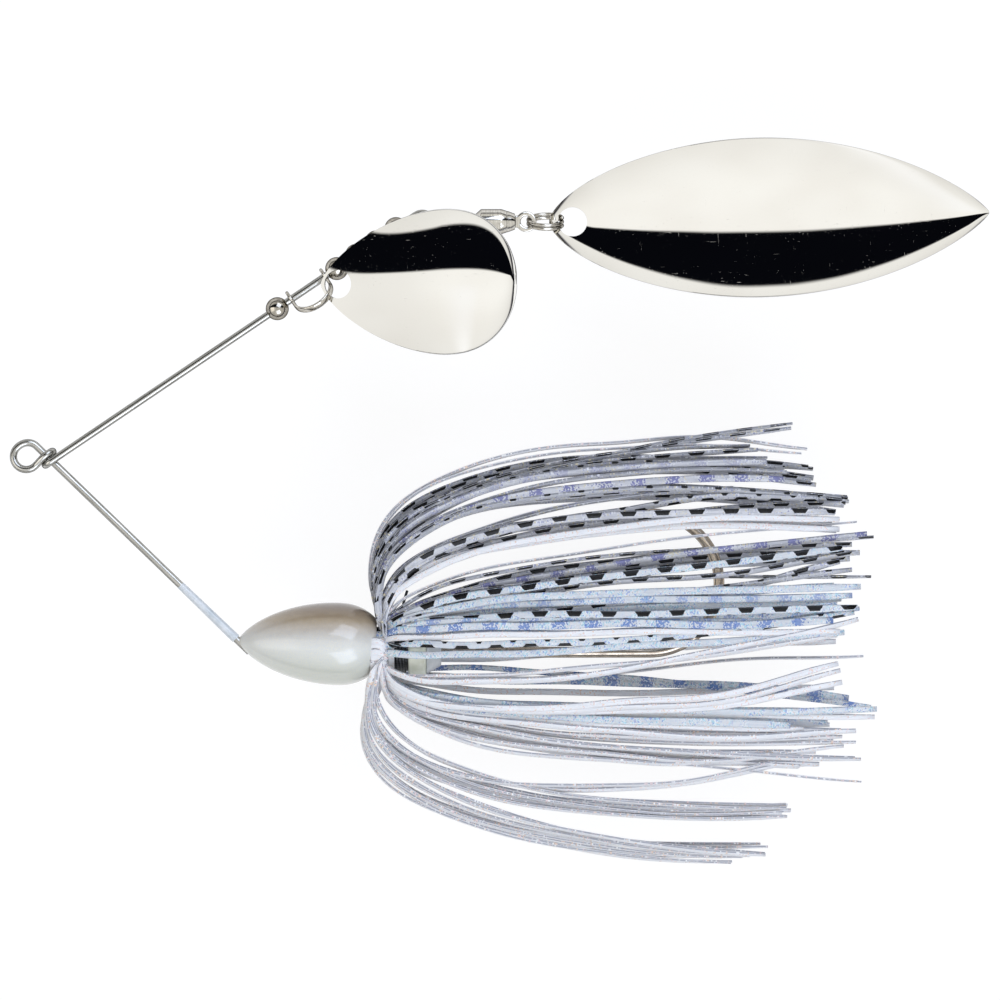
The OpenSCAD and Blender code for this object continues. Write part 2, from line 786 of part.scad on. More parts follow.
module swivel_balls() {
    track = shaft_r + running_gap + ball_r;
    color("gray")
        for (k = [0:ball_count - 1])
            translate(barrel_at + [barrel_lip + running_gap / 2 + ball_r,
                                   track * cos(360 * k / ball_count),
                                   track * sin(360 * k / ball_count)])
                sphere(r = ball_r, $fn = 24);
}

module swivel_end_eye() {
    plug = 0.9;
    color("silver")
        translate(barrel_at + [barrel_len, 0, 0]) {
            translate([-plug, 0, 0])
                rotate([0, 90, 0]) cylinder(h = plug, r = cavity_r - cast_gap, $fn = 64);
            rotate([0, 90, 0])
                cylinder(h = end_tab_x - barrel_len, r1 = barrel_r - 0.22, r2 = 1, $fn = 64);
            translate(end_hole - barrel_at - [barrel_len, 0, 0])
                rotate([0, 0, 180])
                    flat_eye(end_hole_r, 0.6, 1.6, end_tab_t);
        }
}

// Split ring: two full turns of fine wire lying side by side
split_steps = 36;
split_path = [for (i = [0:2 * split_steps])
    let (a = 360 * i / split_steps, w = split_pitch * (i / split_steps - 1),
         lean = [0, -sin(split_tilt), cos(split_tilt)],
         normal = [0, cos(split_tilt), sin(split_tilt)])
    split_mid + split_r * (cos(a) * [1, 0, 0] + sin(a) * lean) + w * normal];

module split_ring() {
    color("silver")
        sweep_wire(split_path, split_d / 2, [1, 0, 0]);
}

wire_frame();
arm_coat();
head();
hook();
skirt_core();
skirt_binding();
skirt_collar();
trailer_keeper();
skirt_upper_front();
skirt_upper_back();
skirt_side_front();
skirt_side_back();
skirt_lower_front();
skirt_lower_back();
stop_bead();
bead_1();
bead_2();
bead_3();
bead_4();
clevis();
colorado_blade();
swivel_ring();
swivel_eye();
swivel_barrel();
swivel_balls();
swivel_end_eye();
split_ring();
willow_blade();
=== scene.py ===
# %% [markdown]
# A spinnerbait: a bent wire that carries a weighted hook and its rubber skirt on
# one arm, and two spinning blades on the other. This script dresses the measured
# solids. Each piece is a surface worked out with numpy, and each cell makes one.
# The moving pieces take their places from the joints' own pivots.
# Lengths are in millimetres until a mesh is written, which is in metres.

# %% Load the measured part
import json
import math

import bpy
import numpy as np
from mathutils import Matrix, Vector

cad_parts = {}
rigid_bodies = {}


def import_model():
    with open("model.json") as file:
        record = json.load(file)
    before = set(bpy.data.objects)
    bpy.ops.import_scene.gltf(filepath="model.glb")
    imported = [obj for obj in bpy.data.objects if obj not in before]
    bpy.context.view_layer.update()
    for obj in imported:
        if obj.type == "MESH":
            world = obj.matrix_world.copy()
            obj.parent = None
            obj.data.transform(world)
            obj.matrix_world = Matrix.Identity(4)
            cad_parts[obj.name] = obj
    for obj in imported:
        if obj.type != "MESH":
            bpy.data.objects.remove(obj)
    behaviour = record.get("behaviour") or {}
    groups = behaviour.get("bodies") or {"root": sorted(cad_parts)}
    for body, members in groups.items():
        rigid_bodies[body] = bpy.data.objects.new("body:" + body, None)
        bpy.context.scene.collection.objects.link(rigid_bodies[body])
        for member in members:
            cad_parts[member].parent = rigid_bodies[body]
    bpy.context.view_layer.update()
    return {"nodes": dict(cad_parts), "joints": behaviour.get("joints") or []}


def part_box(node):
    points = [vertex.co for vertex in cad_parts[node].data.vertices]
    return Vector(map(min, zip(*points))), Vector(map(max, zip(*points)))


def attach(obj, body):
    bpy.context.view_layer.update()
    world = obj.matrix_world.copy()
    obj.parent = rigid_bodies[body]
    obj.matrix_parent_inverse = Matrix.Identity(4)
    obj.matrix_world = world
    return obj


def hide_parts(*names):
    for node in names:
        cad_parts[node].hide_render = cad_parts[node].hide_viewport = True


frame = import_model()
MM = 0.001
rng = np.random.default_rng(28)
pivot = {joint["name"]: np.array(joint["pos_m"]) / MM for joint in frame["joints"]}
print("nodes:", len(frame["nodes"]))

# %% [markdown]
# A surface can be typed point by point, modelled by hand, or worked out. Here a
# grid of points is worked out for each form: rows run along it, columns run round
# it. One function turns any such grids into a mesh, so every piece shares the
# same sound faces, and a pattern can follow the surface through its UV map.

# %% From grids of points to a mesh
def grid_faces(rows, columns, first, ring, loop):
    """Quads of one grid: each point, the next round, the next along, as whole
    index arrays. Wrapped grids take their last column or row back to the first."""
    index = first + np.arange(rows * columns).reshape(rows, columns)
    across = np.arange(columns if ring else columns - 1)
    down = np.arange(rows if loop else rows - 1)
    i, j = np.meshgrid(down, across, indexing="ij")
    i2, j2 = (i + 1) % rows, (j + 1) % columns
    quads = np.stack([index[i, j], index[i, j2], index[i2, j2], index[i2, j]], -1)
    corner_u = np.stack([j, j + 1, j + 1, j], -1) / max(len(across), 1)
    corner_i = np.stack([i, i, i2, i2], -1)
    return quads.reshape(-1, 4), corner_u.reshape(-1, 4), corner_i.reshape(-1, 4)


def surface(name, grids, ring=True, loop=False, caps=True, along=None, marks=None,
            crease=None):
    """One mesh from a list of grids shaped (rows, columns, 3) in millimetres.
    UV: U is the share of the way round, V the length along in millimetres. marks
    are named lists with one number for each grid, kept as attributes."""
    points, loops, sizes, uv, owner = [], [], [], [], []
    first = 0
    for k, grid in enumerate(grids):
        rows, columns = grid.shape[:2]
        quads, corner_u, corner_i = grid_faces(rows, columns, first, ring, loop)
        if along is None:
            centre = grid.mean(1)
            step = np.linalg.norm(np.diff(centre, axis=0), axis=1)
            length = np.concatenate([[0], np.cumsum(step)])
        else:
            length = along[k]
        points.append(grid.reshape(-1, 3))
        loops.append(quads.ravel())
        sizes.append(np.full(len(quads), 4))
        uv.append(np.stack([corner_u.ravel(), length[corner_i.ravel()]], -1))
        if caps and ring and not loop:
            start = first + np.arange(columns)[::-1]
            end = first + (rows - 1) * columns + np.arange(columns)
            loops += [start, end]
            sizes.append(np.array([columns, columns]))
            uv += [np.stack([np.full(columns, 0.5), np.full(columns, length[0])], -1),
                   np.stack([np.full(columns, 0.5), np.full(columns, length[-1])], -1)]
        owner.append(np.full(rows * columns, k))
        first += rows * columns
    points, loops = np.concatenate(points), np.concatenate(loops)
    sizes, uv = np.concatenate(sizes), np.concatenate(uv)
    mesh = bpy.data.meshes.new(name)
    mesh.vertices.add(len(points))
    mesh.vertices.foreach_set("co", (points * MM).ravel().astype(np.float32))
    mesh.loops.add(len(loops))
    mesh.loops.foreach_set("vertex_index", loops.astype(np.int32))
    mesh.polygons.add(len(sizes))
    starts = np.concatenate([[0], np.cumsum(sizes)[:-1]])
    mesh.polygons.foreach_set("loop_start", starts.astype(np.int32))
    mesh.polygons.foreach_set("use_smooth", np.ones(len(sizes), bool))
    mesh.update(calc_edges=True)
    layer = mesh.uv_layers.new(name="UVMap")
    layer.data.foreach_set("uv", uv.ravel().astype(np.float32))
    for key, numbers in (marks or {}).items():
        mark = mesh.attributes.new(key, "FLOAT", "POINT")
        spread_out = np.asarray(numbers, np.float32)[np.concatenate(owner)]
        mark.data.foreach_set("value", spread_out)
    mesh.validate()
    if crease:
        mesh.set_sharp_from_angle(angle=math.radians(crease))
    piece = bpy.data.objects.new(name, mesh)
    bpy.context.collection.objects.link(piece)
    print(f"{name}: {len(points)} points, {len(sizes)} faces")
    return piece


def hand_over(piece, body, slot, material, *nodes):
    """Give a finished piece its body and its finish, and hide the solids it stands for.
    """
    piece.data.materials.append(material)
    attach(piece, body)
    if nodes:
        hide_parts(*nodes)
    return piece

# %% [markdown]
# Most of this lure is wire, or something turned on a lathe. A wire is a small
# section carried along a path. A turned piece is a profile carried round an axis.
# Both come down to the same step: put a flat outline at each station of a line.

# %% Vectors, sweeps and turned forms
def unit(v):
    """Each vector over its own length."""
    v = np.asarray(v, float)
    return v / np.linalg.norm(v, axis=-1, keepdims=True)


def ease(t):
    """A smooth step from 0 to 1: three t squared less two t cubed."""
    t = np.clip(t, 0, 1)
    return t * t * (3 - 2 * t)


def headings(path):
    """Direction at each point: the chord from the point before to the one after."""
    return unit(np.gradient(path, axis=0))


def disc(n, phase=0.0):
    """n points on the unit circle, as pairs (side, up)."""
    a = 2 * np.pi * (np.arange(n) + phase) / n
    return np.stack([np.cos(a), np.sin(a)], -1)


def sweep(path, section, reference, scale=1.0):
    """A section carried along a path. At each point, side is the reference made
    square to the heading, up is heading cross side, and the outline's two numbers
    run along them. scale may be one number, or one for each point."""
    head = headings(path)
    reference = np.broadcast_to(reference, path.shape)
    inline = (reference * head).sum(-1, keepdims=True) * head
    side = unit(reference - inline)
    up = np.cross(head, side)
    size = np.broadcast_to(scale, len(path))[:, None, None]
    flat = section[None] if section.ndim == 2 else section
    return path[:, None] + size * (flat[..., :1] * side[:, None]
                                   + flat[..., 1:] * up[:, None])


def turned(profile, origin, axis, n=48):
    """A profile of (distance along, radius) pairs carried round an axis."""
    axis = unit(axis)
    rough = np.array([0.0, 0.0, 1.0]) if abs(axis[2]) < 0.9 else np.array([1.0, 0, 0])
    side = unit(np.cross(axis, rough))
    up = np.cross(axis, side)
    profile, ring = np.asarray(profile, float), disc(n)
    spin = ring[:, :1] * side + ring[:, 1:] * up
    return (np.asarray(origin) + profile[:, None, :1] * axis
            + profile[:, None, 1:] * spin[None])


def rounded(width, height, power=4.0, n=16):
    """A rounded oblong: a circle whose cosines and sines are raised to 2/power."""
    ring = disc(n, 0.5)
    return np.sign(ring) * np.abs(ring) ** (2 / power) * [width / 2, height / 2]


X, Y, Z = np.eye(3)

# %% [markdown]
# The camera looks straight down on the lure as it lies flat, through a long lens,
# so that little narrows with distance. It sees the side on which the teardrop
# blade covers the beads.

# %% Camera
VIEW_WIDTH = 123.5
CAMERA_AT = (58.49, -5.36, 900.0)
camera_data = bpy.data.cameras.new("camera")
camera_data.sensor_width = 36
camera_data.lens = 36 * CAMERA_AT[2] / VIEW_WIDTH
camera_data.clip_start = 0.01
camera = bpy.data.objects.new("camera", camera_data)
camera.location = np.array(CAMERA_AT) * MM
bpy.context.collection.objects.link(camera)
bpy.context.scene.camera = camera
bpy.context.scene.view_settings.view_transform = "Standard"

# %% [markdown]
# Polished metal has no look of its own: it shows the room. A product studio is a
# white tent with one dark gap, and that gap is the black band across both blades.
# So the world is white with one dark strip, a little off overhead, along X.

# %% Nodes, colours and the world
def linear(code):
    """An sRGB hex colour as the linear RGBA that a socket takes: the low end is a
    straight line, the rest is a power of 2.4."""
    c = np.array([int(code[i:i + 2], 16) for i in (1, 3, 5)]) / 255
    c = np.where(c <= 0.04045, c / 12.92, ((c + 0.055) / 1.055) ** 2.4)
    return (*c.tolist(), 1.0)


def node(tree, kind, inputs=None, **settings):
    """Add a node. settings are its properties; inputs are values or the sockets
    that feed it, by the socket's name or number."""
    made = tree.nodes.new(kind)
    for key, value in settings.items():
        setattr(made, key, value)
    for key, value in (inputs or {}).items():
        if isinstance(value, bpy.types.NodeSocket):
            tree.links.new(value, made.inputs[key])
        else:
            made.inputs[key].default_value = value
    return made


def ramp(tree, factor, stops, smooth="LINEAR"):
    """A colour ramp: stops are (place, hex colour)."""
    made = node(tree, "ShaderNodeValToRGB", {0: factor})
    made.color_ramp.interpolation = smooth
    marks = made.color_ramp.elements
    while len(marks) < len(stops):
        marks.new(0.5)
    for mark, (place, code) in zip(marks, stops):
        mark.position, mark.color = place, linear(code)
    return made.outputs["Color"]


def maths(tree, operation, *values):
    """One Math node and its output."""
    made = node(tree, "ShaderNodeMath", dict(enumerate(values)), operation=operation)
    return made.outputs[0]


def remap(tree, value, low, high, to_low, to_high):
    """A value moved in a straight line from one range to another, and held there."""
    made = node(tree, "ShaderNodeMapRange",
                {0: value, 1: low, 2: high, 3: to_low, 4: to_high})
    return made.outputs[0]


def mix(tree, factor, under, over, blend="MIX"):
    """One colour laid over another by a factor."""
    made = node(tree, "ShaderNodeMix", {0: factor, 6: under, 7: over},
                data_type="RGBA", blend_type=blend)
    return made.outputs[2]


TENT, STRIP, FOOT = "#fcfbf8", "#06070c", "#1b1b20"
STRIP_FROM, STRIP_TO = 12.0, 49.0  # degrees off overhead, towards +Y
DEGREES = 180 / math.pi

world = bpy.data.worlds.new("tent")
bpy.context.scene.world = world
world.use_nodes = True
tree = world.node_tree
tree.nodes.clear()
toward = node(tree, "ShaderNodeSeparateXYZ",
              {0: node(tree, "ShaderNodeTexCoord").outputs["Generated"]}).outputs


def band(value, low, high, soft):
    """1 between low and high, 0 outside, over a soft edge."""
    up = node(tree, "ShaderNodeMapRange", {0: value, 1: low - soft, 2: low + soft},
              interpolation_type="SMOOTHSTEP").outputs[0]
    down = node(tree, "ShaderNodeMapRange", {0: value, 1: high - soft, 2: high + soft,
                3: 1.0, 4: 0.0}, interpolation_type="SMOOTHSTEP").outputs[0]
    return maths(tree, "MULTIPLY", up, down)


across = maths(tree, "MULTIPLY", maths(tree, "ARCTAN2", toward["Y"], toward["Z"]),
               DEGREES)
aft = maths(tree, "MULTIPLY", maths(tree, "ARCTAN2", toward["X"], toward["Z"]),
            DEGREES)
strip = band(across, STRIP_FROM, STRIP_TO, 1.4)
glow = maths(tree, "MULTIPLY", band(across, -70, -4, 8), band(aft, -24, -12, 6))
tent = ramp(tree, toward["Z"], [(0.06, FOOT), (0.16, "#77767a"), (0.26, "#e6e5e2"),
                                (0.7, "#f4f3f0"), (0.92, TENT)])
bright = mix(tree, glow, tent, linear("#ffffff"))
dark = mix(tree, strip, bright, linear(STRIP))
rays = node(tree, "ShaderNodeLightPath").outputs
level = maths(tree, "MULTIPLY_ADD", rays["Is Glossy Ray"], 0.38, 0.62)
studio = node(tree, "ShaderNodeBackground", {"Color": dark, "Strength": level})
paper = node(tree, "ShaderNodeBackground", {"Color": (1, 1, 1, 1), "Strength": 1.0})
under = maths(tree, "MULTIPLY", rays["Is Glossy Ray"],
              maths(tree, "LESS_THAN", toward["Z"], 0.0))
seen = maths(tree, "MAXIMUM", under,
             maths(tree, "MAXIMUM", rays["Is Camera Ray"], rays["Is Transmission Ray"]))
mixed = node(tree, "ShaderNodeMixShader",
             {0: seen, 1: studio.outputs[0], 2: paper.outputs[0]})
node(tree, "ShaderNodeOutputWorld", {"Surface": mixed.outputs[0]})

# %% [markdown]
# The floor is a sheet of white paper, lit so that it stays white and keeps only
# the soft shadow. It lies 18 mm below the wires, as under a lure laid on clear
# glass, because a blade that turns right round its wire reaches 17.2 mm down.
# Three large soft lamps give the paint its window highlights and the strands
# their sparkle, and none is strong enough to bleach.

# %% Floor and lamps
FLOOR_Z = -18.0
paper_sheet = surface("paper_floor", [np.array(
    [[[x, y, FLOOR_Z] for x in (-800.0, 800.0)] for y in (-800.0, 800.0)])],
    ring=False, caps=False)
white = bpy.data.materials.new("paper_white")
white.use_nodes = True
tree = white.node_tree
tree.nodes.clear()
lit = node(tree, "ShaderNodeBsdfDiffuse", {"Color": (0.7, 0.7, 0.7, 1)})
dim = node(tree, "ShaderNodeBsdfDiffuse", {"Color": (0.16, 0.16, 0.165, 1)})
glow = node(tree, "ShaderNodeEmission", {"Color": (1, 1, 1, 1), "Strength": 0.88})
both = node(tree, "ShaderNodeAddShader", {0: dim.outputs[0], 1: glow.outputs[0]})
rays = node(tree, "ShaderNodeLightPath").outputs
seen = maths(tree, "MAXIMUM", rays["Is Camera Ray"],
             maths(tree, "MAXIMUM", rays["Is Glossy Ray"], rays["Is Transmission Ray"]))
mixed = node(tree, "ShaderNodeMixShader",
             {0: seen, 1: lit.outputs[0], 2: both.outputs[0]})
node(tree, "ShaderNodeOutputMaterial", {"Surface": mixed.outputs[0]})
paper_sheet.data.materials.append(white)


HEART = np.array([58.0, -5.0, 0.0])


def lamp(name, place, size, watts, colour):
    """A square soft lamp at a place in millimetres, aimed at the lure's middle."""
    data = bpy.data.lights.new(name, "AREA")
    data.size, data.energy, data.color = size * MM, watts, linear(colour)[:3]
    lit = bpy.data.objects.new(name, data)
    lit.location = np.array(place) * MM
    away = np.array(place, float) - HEART
    yaw = math.atan2(away[1], away[0])
    tilt = math.atan2(math.hypot(away[0], away[1]), away[2])
    lit.rotation_euler = (0, tilt, yaw)
    bpy.context.collection.objects.link(lit)


lamp("lamp_far", (250, 400, 560), 480, 2.5, "#e2ecff")
lamp("lamp_near", (230, -430, 560), 480, 2.3, "#e2ecff")
lamp("lamp_side", (-430, -60, 420), 420, 0.6, "#fffaf2")


def shade_from_lamps(*pieces):
    """Keep the lamps' own shapes out of a mirror: their light is left to all but
    these pieces, which show the tent alone."""
    kept_dark = bpy.data.collections.new("mirrors")
    for piece in pieces:
        kept_dark.objects.link(piece)
    for entry in kept_dark.collection_objects:
        entry.light_linking.link_state = "EXCLUDE"
    for lit in (o for o in bpy.data.objects if o.type == "LIGHT"):
        lit.light_linking.receiver_collection = kept_dark

# %% [markdown]
# Every metal here is bright, but no two are alike. Stainless spring wire is drawn,
# so it has fine lines along it. Blades are stamped brass with a nickel plate,
# rolled to a mirror, and they pick up hairline scratches and specks in the box.
# The hook is a darker bronze-nickel plate. Each is a metal shader whose roughness
# and bump are broken up at the size of its own marks.

# %% Metals
def shader(name):
    """A new material with a clean Principled shader: returns all three."""
    made = bpy.data.materials.new(name)
    made.use_nodes = True
    tree = made.node_tree
    return made, tree, tree.nodes["Principled BSDF"]


def link(tree, source, target):
    """Feed a socket from another."""
    tree.links.new(source, target)


def pattern_space(tree, per_mm, turn=(0, 0, 0)):
    """Object coordinates scaled so that one unit is one cycle of the pattern:
    per_mm holds the cycles in a millimetre along x, y and z."""
    where = node(tree, "ShaderNodeTexCoord").outputs["Object"]
    made = node(tree, "ShaderNodeMapping", {"Vector": where, "Rotation": turn,
                "Scale": tuple(1000.0 * v for v in per_mm)})
    return made.outputs[0]


def uv_space(tree, per_turn, per_mm):
    """The piece's own UV, with its cycles round and its cycles in a millimetre."""
    where = node(tree, "ShaderNodeTexCoord").outputs["UV"]
    made = node(tree, "ShaderNodeMapping",
                {"Vector": where, "Scale": (per_turn, per_mm, 1)})
    return made.outputs[0]


def noise(tree, space, scale=1.0, detail=3.0, rough=0.5):
    """A cloud from 0 to 1 in the given space."""
    made = node(tree, "ShaderNodeTexNoise", {"Vector": space, "Scale": scale,
                "Detail": detail, "Roughness": rough})
    return made.outputs["Fac"]


def bump(tree, height, strength, depth_mm):
    """A normal tilted by a height pattern of the given depth in millimetres."""
    made = node(tree, "ShaderNodeBump", {"Height": height, "Strength": strength,
                "Distance": depth_mm * MM})
    return made.outputs[0]


EDGE_TINT = linear("#4a4a4c")      # what a metal keeps of its shine at a grazing angle


def plated(name, colour, dull, smooth, marks, per_mm, depth, strength, uv=False):
    """A metal whose colour and roughness drift with a fine noise."""
    made, tree, skin = shader(name)
    space = uv_space(tree, marks[0], per_mm) if uv else pattern_space(tree, marks)
    grain = noise(tree, space, 1.0, 4.0, 0.6)
    link(tree, ramp(tree, grain, [(0.3, dull), (0.7, colour)]),
         skin.inputs["Base Color"])
    link(tree, remap(tree, grain, 0.3, 0.7, smooth[1], smooth[0]),
         skin.inputs["Roughness"])
    link(tree, bump(tree, grain, strength, depth), skin.inputs["Normal"])
    skin.inputs["Metallic"].default_value = 1.0
    skin.inputs["Specular Tint"].default_value = EDGE_TINT
    return made


# Drawn stainless spring wire: draw lines 0.1 mm apart round it, long along it
steel_wire = plated("stainless_spring_wire", "#c9c8c4", "#96958f", (0.12, 0.3),
                    (9, 0, 0), 0.25, 0.01, 0.15, uv=True)
# Bronze-nickel plate over a forged hook: warm, a little blotched
hook_plate = plated("bronze_nickel_plate", "#dccfbd", "#a5988a", (0.16, 0.32),
                    (7, 0, 0), 0.6, 0.01, 0.2, uv=True)
# Tumbled nickel on small fittings: soft pits about 0.3 mm wide
fitting_plate = plated("tumbled_nickel_plate", "#dcd8cf", "#b3aea4", (0.08, 0.22),
                       (3.0, 3.0, 3.0), 0, 0.01, 0.12)
# Turned brass with nickel on the swivel: tool lines round it, 0.15 mm apart
swivel_plate = plated("turned_nickel_brass", "#e8e5de", "#bfbbb2", (0.07, 0.2),
                      (6.5, 0.6, 0.6), 0, 0.01, 0.12)
# Black-nickel beads: polished, with a smoky tint and rubbed spots
bead_plate = plated("black_nickel_bead", "#c8c3b8", "#8d8880", (0.07, 0.2),
                    (1.4, 1.4, 1.4), 0, 0.01, 0.12)

# %% Mirror plate of the blades
def mirror_plate(name, colour, warm):
    """Nickel rolled to a mirror: a broad ripple a few microns deep bends the
    reflection, hairlines 0.05 mm wide lie in two directions, and specks are the
    small pits left under the plate."""
    made, tree, skin = shader(name)
    ripple = noise(tree, pattern_space(tree, (0.11, 0.16, 0.1)), 1.0, 1.0)
    hair_a = noise(tree, pattern_space(tree, (0.5, 9.0, 1.0), (0, 0, 0.5)), 1, 2, 0.7)
    hair_b = noise(tree, pattern_space(tree, (7.0, 0.4, 1.0), (0, 0, 0.25)), 1, 2, 0.7)
    cell = node(tree, "ShaderNodeTexVoronoi",
                {"Vector": pattern_space(tree, (2.4, 2.4, 2.4)), "Scale": 1.0,
                 "Randomness": 1.0})
    cloud = noise(tree, pattern_space(tree, (0.3, 0.3, 0.3)), 1.0, 2.0)
    speck = maths(tree, "MULTIPLY",
                  remap(tree, cell.outputs["Distance"], 0.05, 0.14, 1.0, 0.0),
                  remap(tree, cloud, 0.45, 0.6, 0.0, 1.0))
    fine_a = remap(tree, hair_a, 0.7, 0.78, 0.0, 1.0)
    fine_b = remap(tree, hair_b, 0.71, 0.79, 0.0, 1.0)
    marks = maths(tree, "MAXIMUM", maths(tree, "MAXIMUM", fine_a, fine_b), speck)
    link(tree, ramp(tree, ripple, [(0.3, warm), (0.7, colour)]),
         skin.inputs["Base Color"])
    link(tree, remap(tree, marks, 0.0, 1.0, 0.035, 0.4), skin.inputs["Roughness"])
    broad = bump(tree, ripple, 0.5, 0.05)
    fine = node(tree, "ShaderNodeBump", {"Height": marks, "Strength": 0.25,
                "Distance": 0.004 * MM, "Normal": broad})
    link(tree, fine.outputs[0], skin.inputs["Normal"])
    skin.inputs["Metallic"].default_value = 1.0
    skin.inputs["Specular Tint"].default_value = EDGE_TINT
    return made


blade_plate = mirror_plate("mirror_nickel_plate", "#fbfaf6", "#f5f3ee")

# %% [markdown]
# The frame is one length of 0.9 mm wire. It leaves the head, runs up to the tie
# eye, turns a loop, wraps once round its own arm, and goes on to the far eye. Its
# centre line is joined from straight runs, arcs and one turn of a helix, and a
# round section is carried along it, as a wire former would bend it.

# %% Arms, tie eye and far eye
UP_ANGLE, LOW_ANGLE = math.radians(34), math.radians(44)
up_dir = np.array([math.cos(UP_ANGLE), math.sin(UP_ANGLE), 0])
up_side = np.array([math.sin(UP_ANGLE), -math.cos(UP_ANGLE), 0])
low_dir = np.array([math.cos(LOW_ANGLE), -math.sin(LOW_ANGLE), 0])
low_side = np.array([math.sin(LOW_ANGLE), math.cos(LOW_ANGLE), 0])
WIRE_R, TIE_R, TIE_EASE, END_R = 0.45, 1.6, 0.2, 1.45
WRAP_R = 2 * WIRE_R + 0.03
LOWER_LEN, UPPER_LEN, END_TURN = 34.6, 54.2, 272
WRAP_START = TIE_R + 0.05
WRAP_PITCH = 2 * WIRE_R + 0.1
tie_foot = (TIE_R + TIE_EASE) * low_side
up_start = tie_foot + (WRAP_START + WRAP_PITCH) * low_dir + WRAP_R * Z
end_top = up_start + UPPER_LEN * up_dir
end_eye = end_top + END_R * up_side
nose = tie_foot + LOWER_LEN * low_dir


def line(start, end, n):
    """n points from start to end."""
    t = np.linspace(0, 1, n)[:, None]
    return (1 - t) * np.asarray(start) + t * np.asarray(end)


def tie_loop(a):
    """The tie eye: a circle that eases out to the arm's line, and rises."""
    start = np.pi / 2 - LOW_ANGLE
    pull = np.where(a - start < np.pi / 2, (1 + np.cos(2 * (a - start))) / 2, 0)
    r = TIE_R + TIE_EASE * pull
    rise = WRAP_R / 2 * ease((np.degrees(a) - 150) / 160)
    return np.stack([r * np.cos(a), r * np.sin(a), rise], -1)


def wrap_turn(a):
    """One turn round the lower arm: a helix of radius WRAP_R."""
    a = np.asarray(a)[..., None]
    return (tie_foot + (WRAP_START + WRAP_PITCH * a / (2 * np.pi)) * low_dir
            + WRAP_R * (np.cos(a) * Z + np.sin(a) * low_side))


def hermite(p, p_pull, q, q_pull, t):
    """Cubic from p to q with the given pulls at its ends."""
    t = t[:, None]
    return ((2 * t ** 3 - 3 * t ** 2 + 1) * p + (t ** 3 - 2 * t ** 2 + t) * p_pull
            + (3 * t ** 2 - 2 * t ** 3) * q + (t ** 3 - t ** 2) * q_pull)


tie_from, tie_to = np.pi / 2 - LOW_ANGLE, math.radians(310)
loop = tie_loop(np.linspace(tie_from, tie_to, 60))
wrap = wrap_turn(np.linspace(0, 2 * np.pi, 48))
tie_pull = 1.6 * np.array([-math.sin(tie_to), math.cos(tie_to), 0])
wrap_pull = 1.6 * unit(wrap[1] - wrap[0])
bridge = hermite(loop[-1], tie_pull, wrap[0], wrap_pull, np.linspace(0, 1, 12)[1:-1])
turn = np.radians(np.linspace(0, END_TURN, 60))[1:, None]
eye = end_eye + END_R * (-np.cos(turn) * up_side + np.sin(turn) * up_dir)
wire_path = np.concatenate([
    line(nose + 2.0 * low_dir, tie_foot + 0.3 * low_dir, 60), loop, bridge, wrap,
    line(up_start + 0.3 * up_dir, end_top - 0.2 * up_dir, 90), eye])
# A section keeps its sense against Z on the flat runs and against the lower arm
# in the wrap, whose stations these are; it changes over 14 stations.
WRAP_FIRST, WRAP_LAST, CHANGE = 118, 172, 14
station = np.arange(len(wire_path))[:, None]
share = np.clip((station - WRAP_FIRST) / CHANGE, 0, 1)
back = np.clip((station - WRAP_LAST) / CHANGE, 0, 1)
guide = (Z * (1 - share) + low_dir * share) * (1 - back) + Z * back
arms = surface("wire_arms", [sweep(wire_path, disc(20), guide, WIRE_R)])
hand_over(arms, "frame", "frame_wire", steel_wire, "wire_frame")

# %% [markdown]
# The head is lead, cast round the hook and dipped in paint, so it is a turned form
# with no edge anywhere: a pointed bow, its widest place well aft, and a round
# stern. Its radius is one power curve ahead of the widest place and one behind.

# %% Head and neck
HEAD_LEN, HEAD_R, HEAD_PEAK, STERN = 17.1, 5.1, 12.3, 0.81
keeper_low, keeper_high = np.array(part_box("trailer_keeper")) / MM
shank_y = (keeper_low[1] + keeper_high[1]) / 2
shank_at = np.array([nose[0], shank_y, 0.0])


def head_radius(x):
    """Bow: one less the square of the way to the widest place, to the power 0.71.
    Stern: the root of one less the way past it to the power 2.2."""
    bow = np.clip(1 - ((HEAD_PEAK - x) / HEAD_PEAK) ** 2, 0, None) ** 0.71
    aft = np.clip((x - HEAD_PEAK) / (HEAD_LEN - HEAD_PEAK) * STERN, 0, None)
    return HEAD_R * np.where(x < HEAD_PEAK, bow, np.sqrt(1 - aft ** 2.2))


s = np.linspace(0, 1, 90)
x = HEAD_LEN * s ** 1.3
head_profile = np.stack([x, np.maximum(head_radius(x), 0.04)], -1)
rim = head_profile[-1, 1]
NECK_R = 1.45
shut = np.stack([np.full(12, HEAD_LEN), np.linspace(rim, NECK_R - 0.05, 12)], -1)
nod = math.radians(1.8)  # the head's axis dips this much towards its stern
head_axis = np.array([math.cos(nod), -math.sin(nod), 0])
neck_profile = np.array([[15.6, NECK_R - 0.03], [15.61, NECK_R], [23.2, NECK_R],
                         [23.24, NECK_R - 0.05]])

# %% [markdown]
# The paint is a pearl white lacquer with a tan-grey back misted on from above,
# under a clear coat. The mist fades over about 4 mm, so the colour is a ramp on
# the height above the head's own axis, loosened by a fine noise, as spray is.

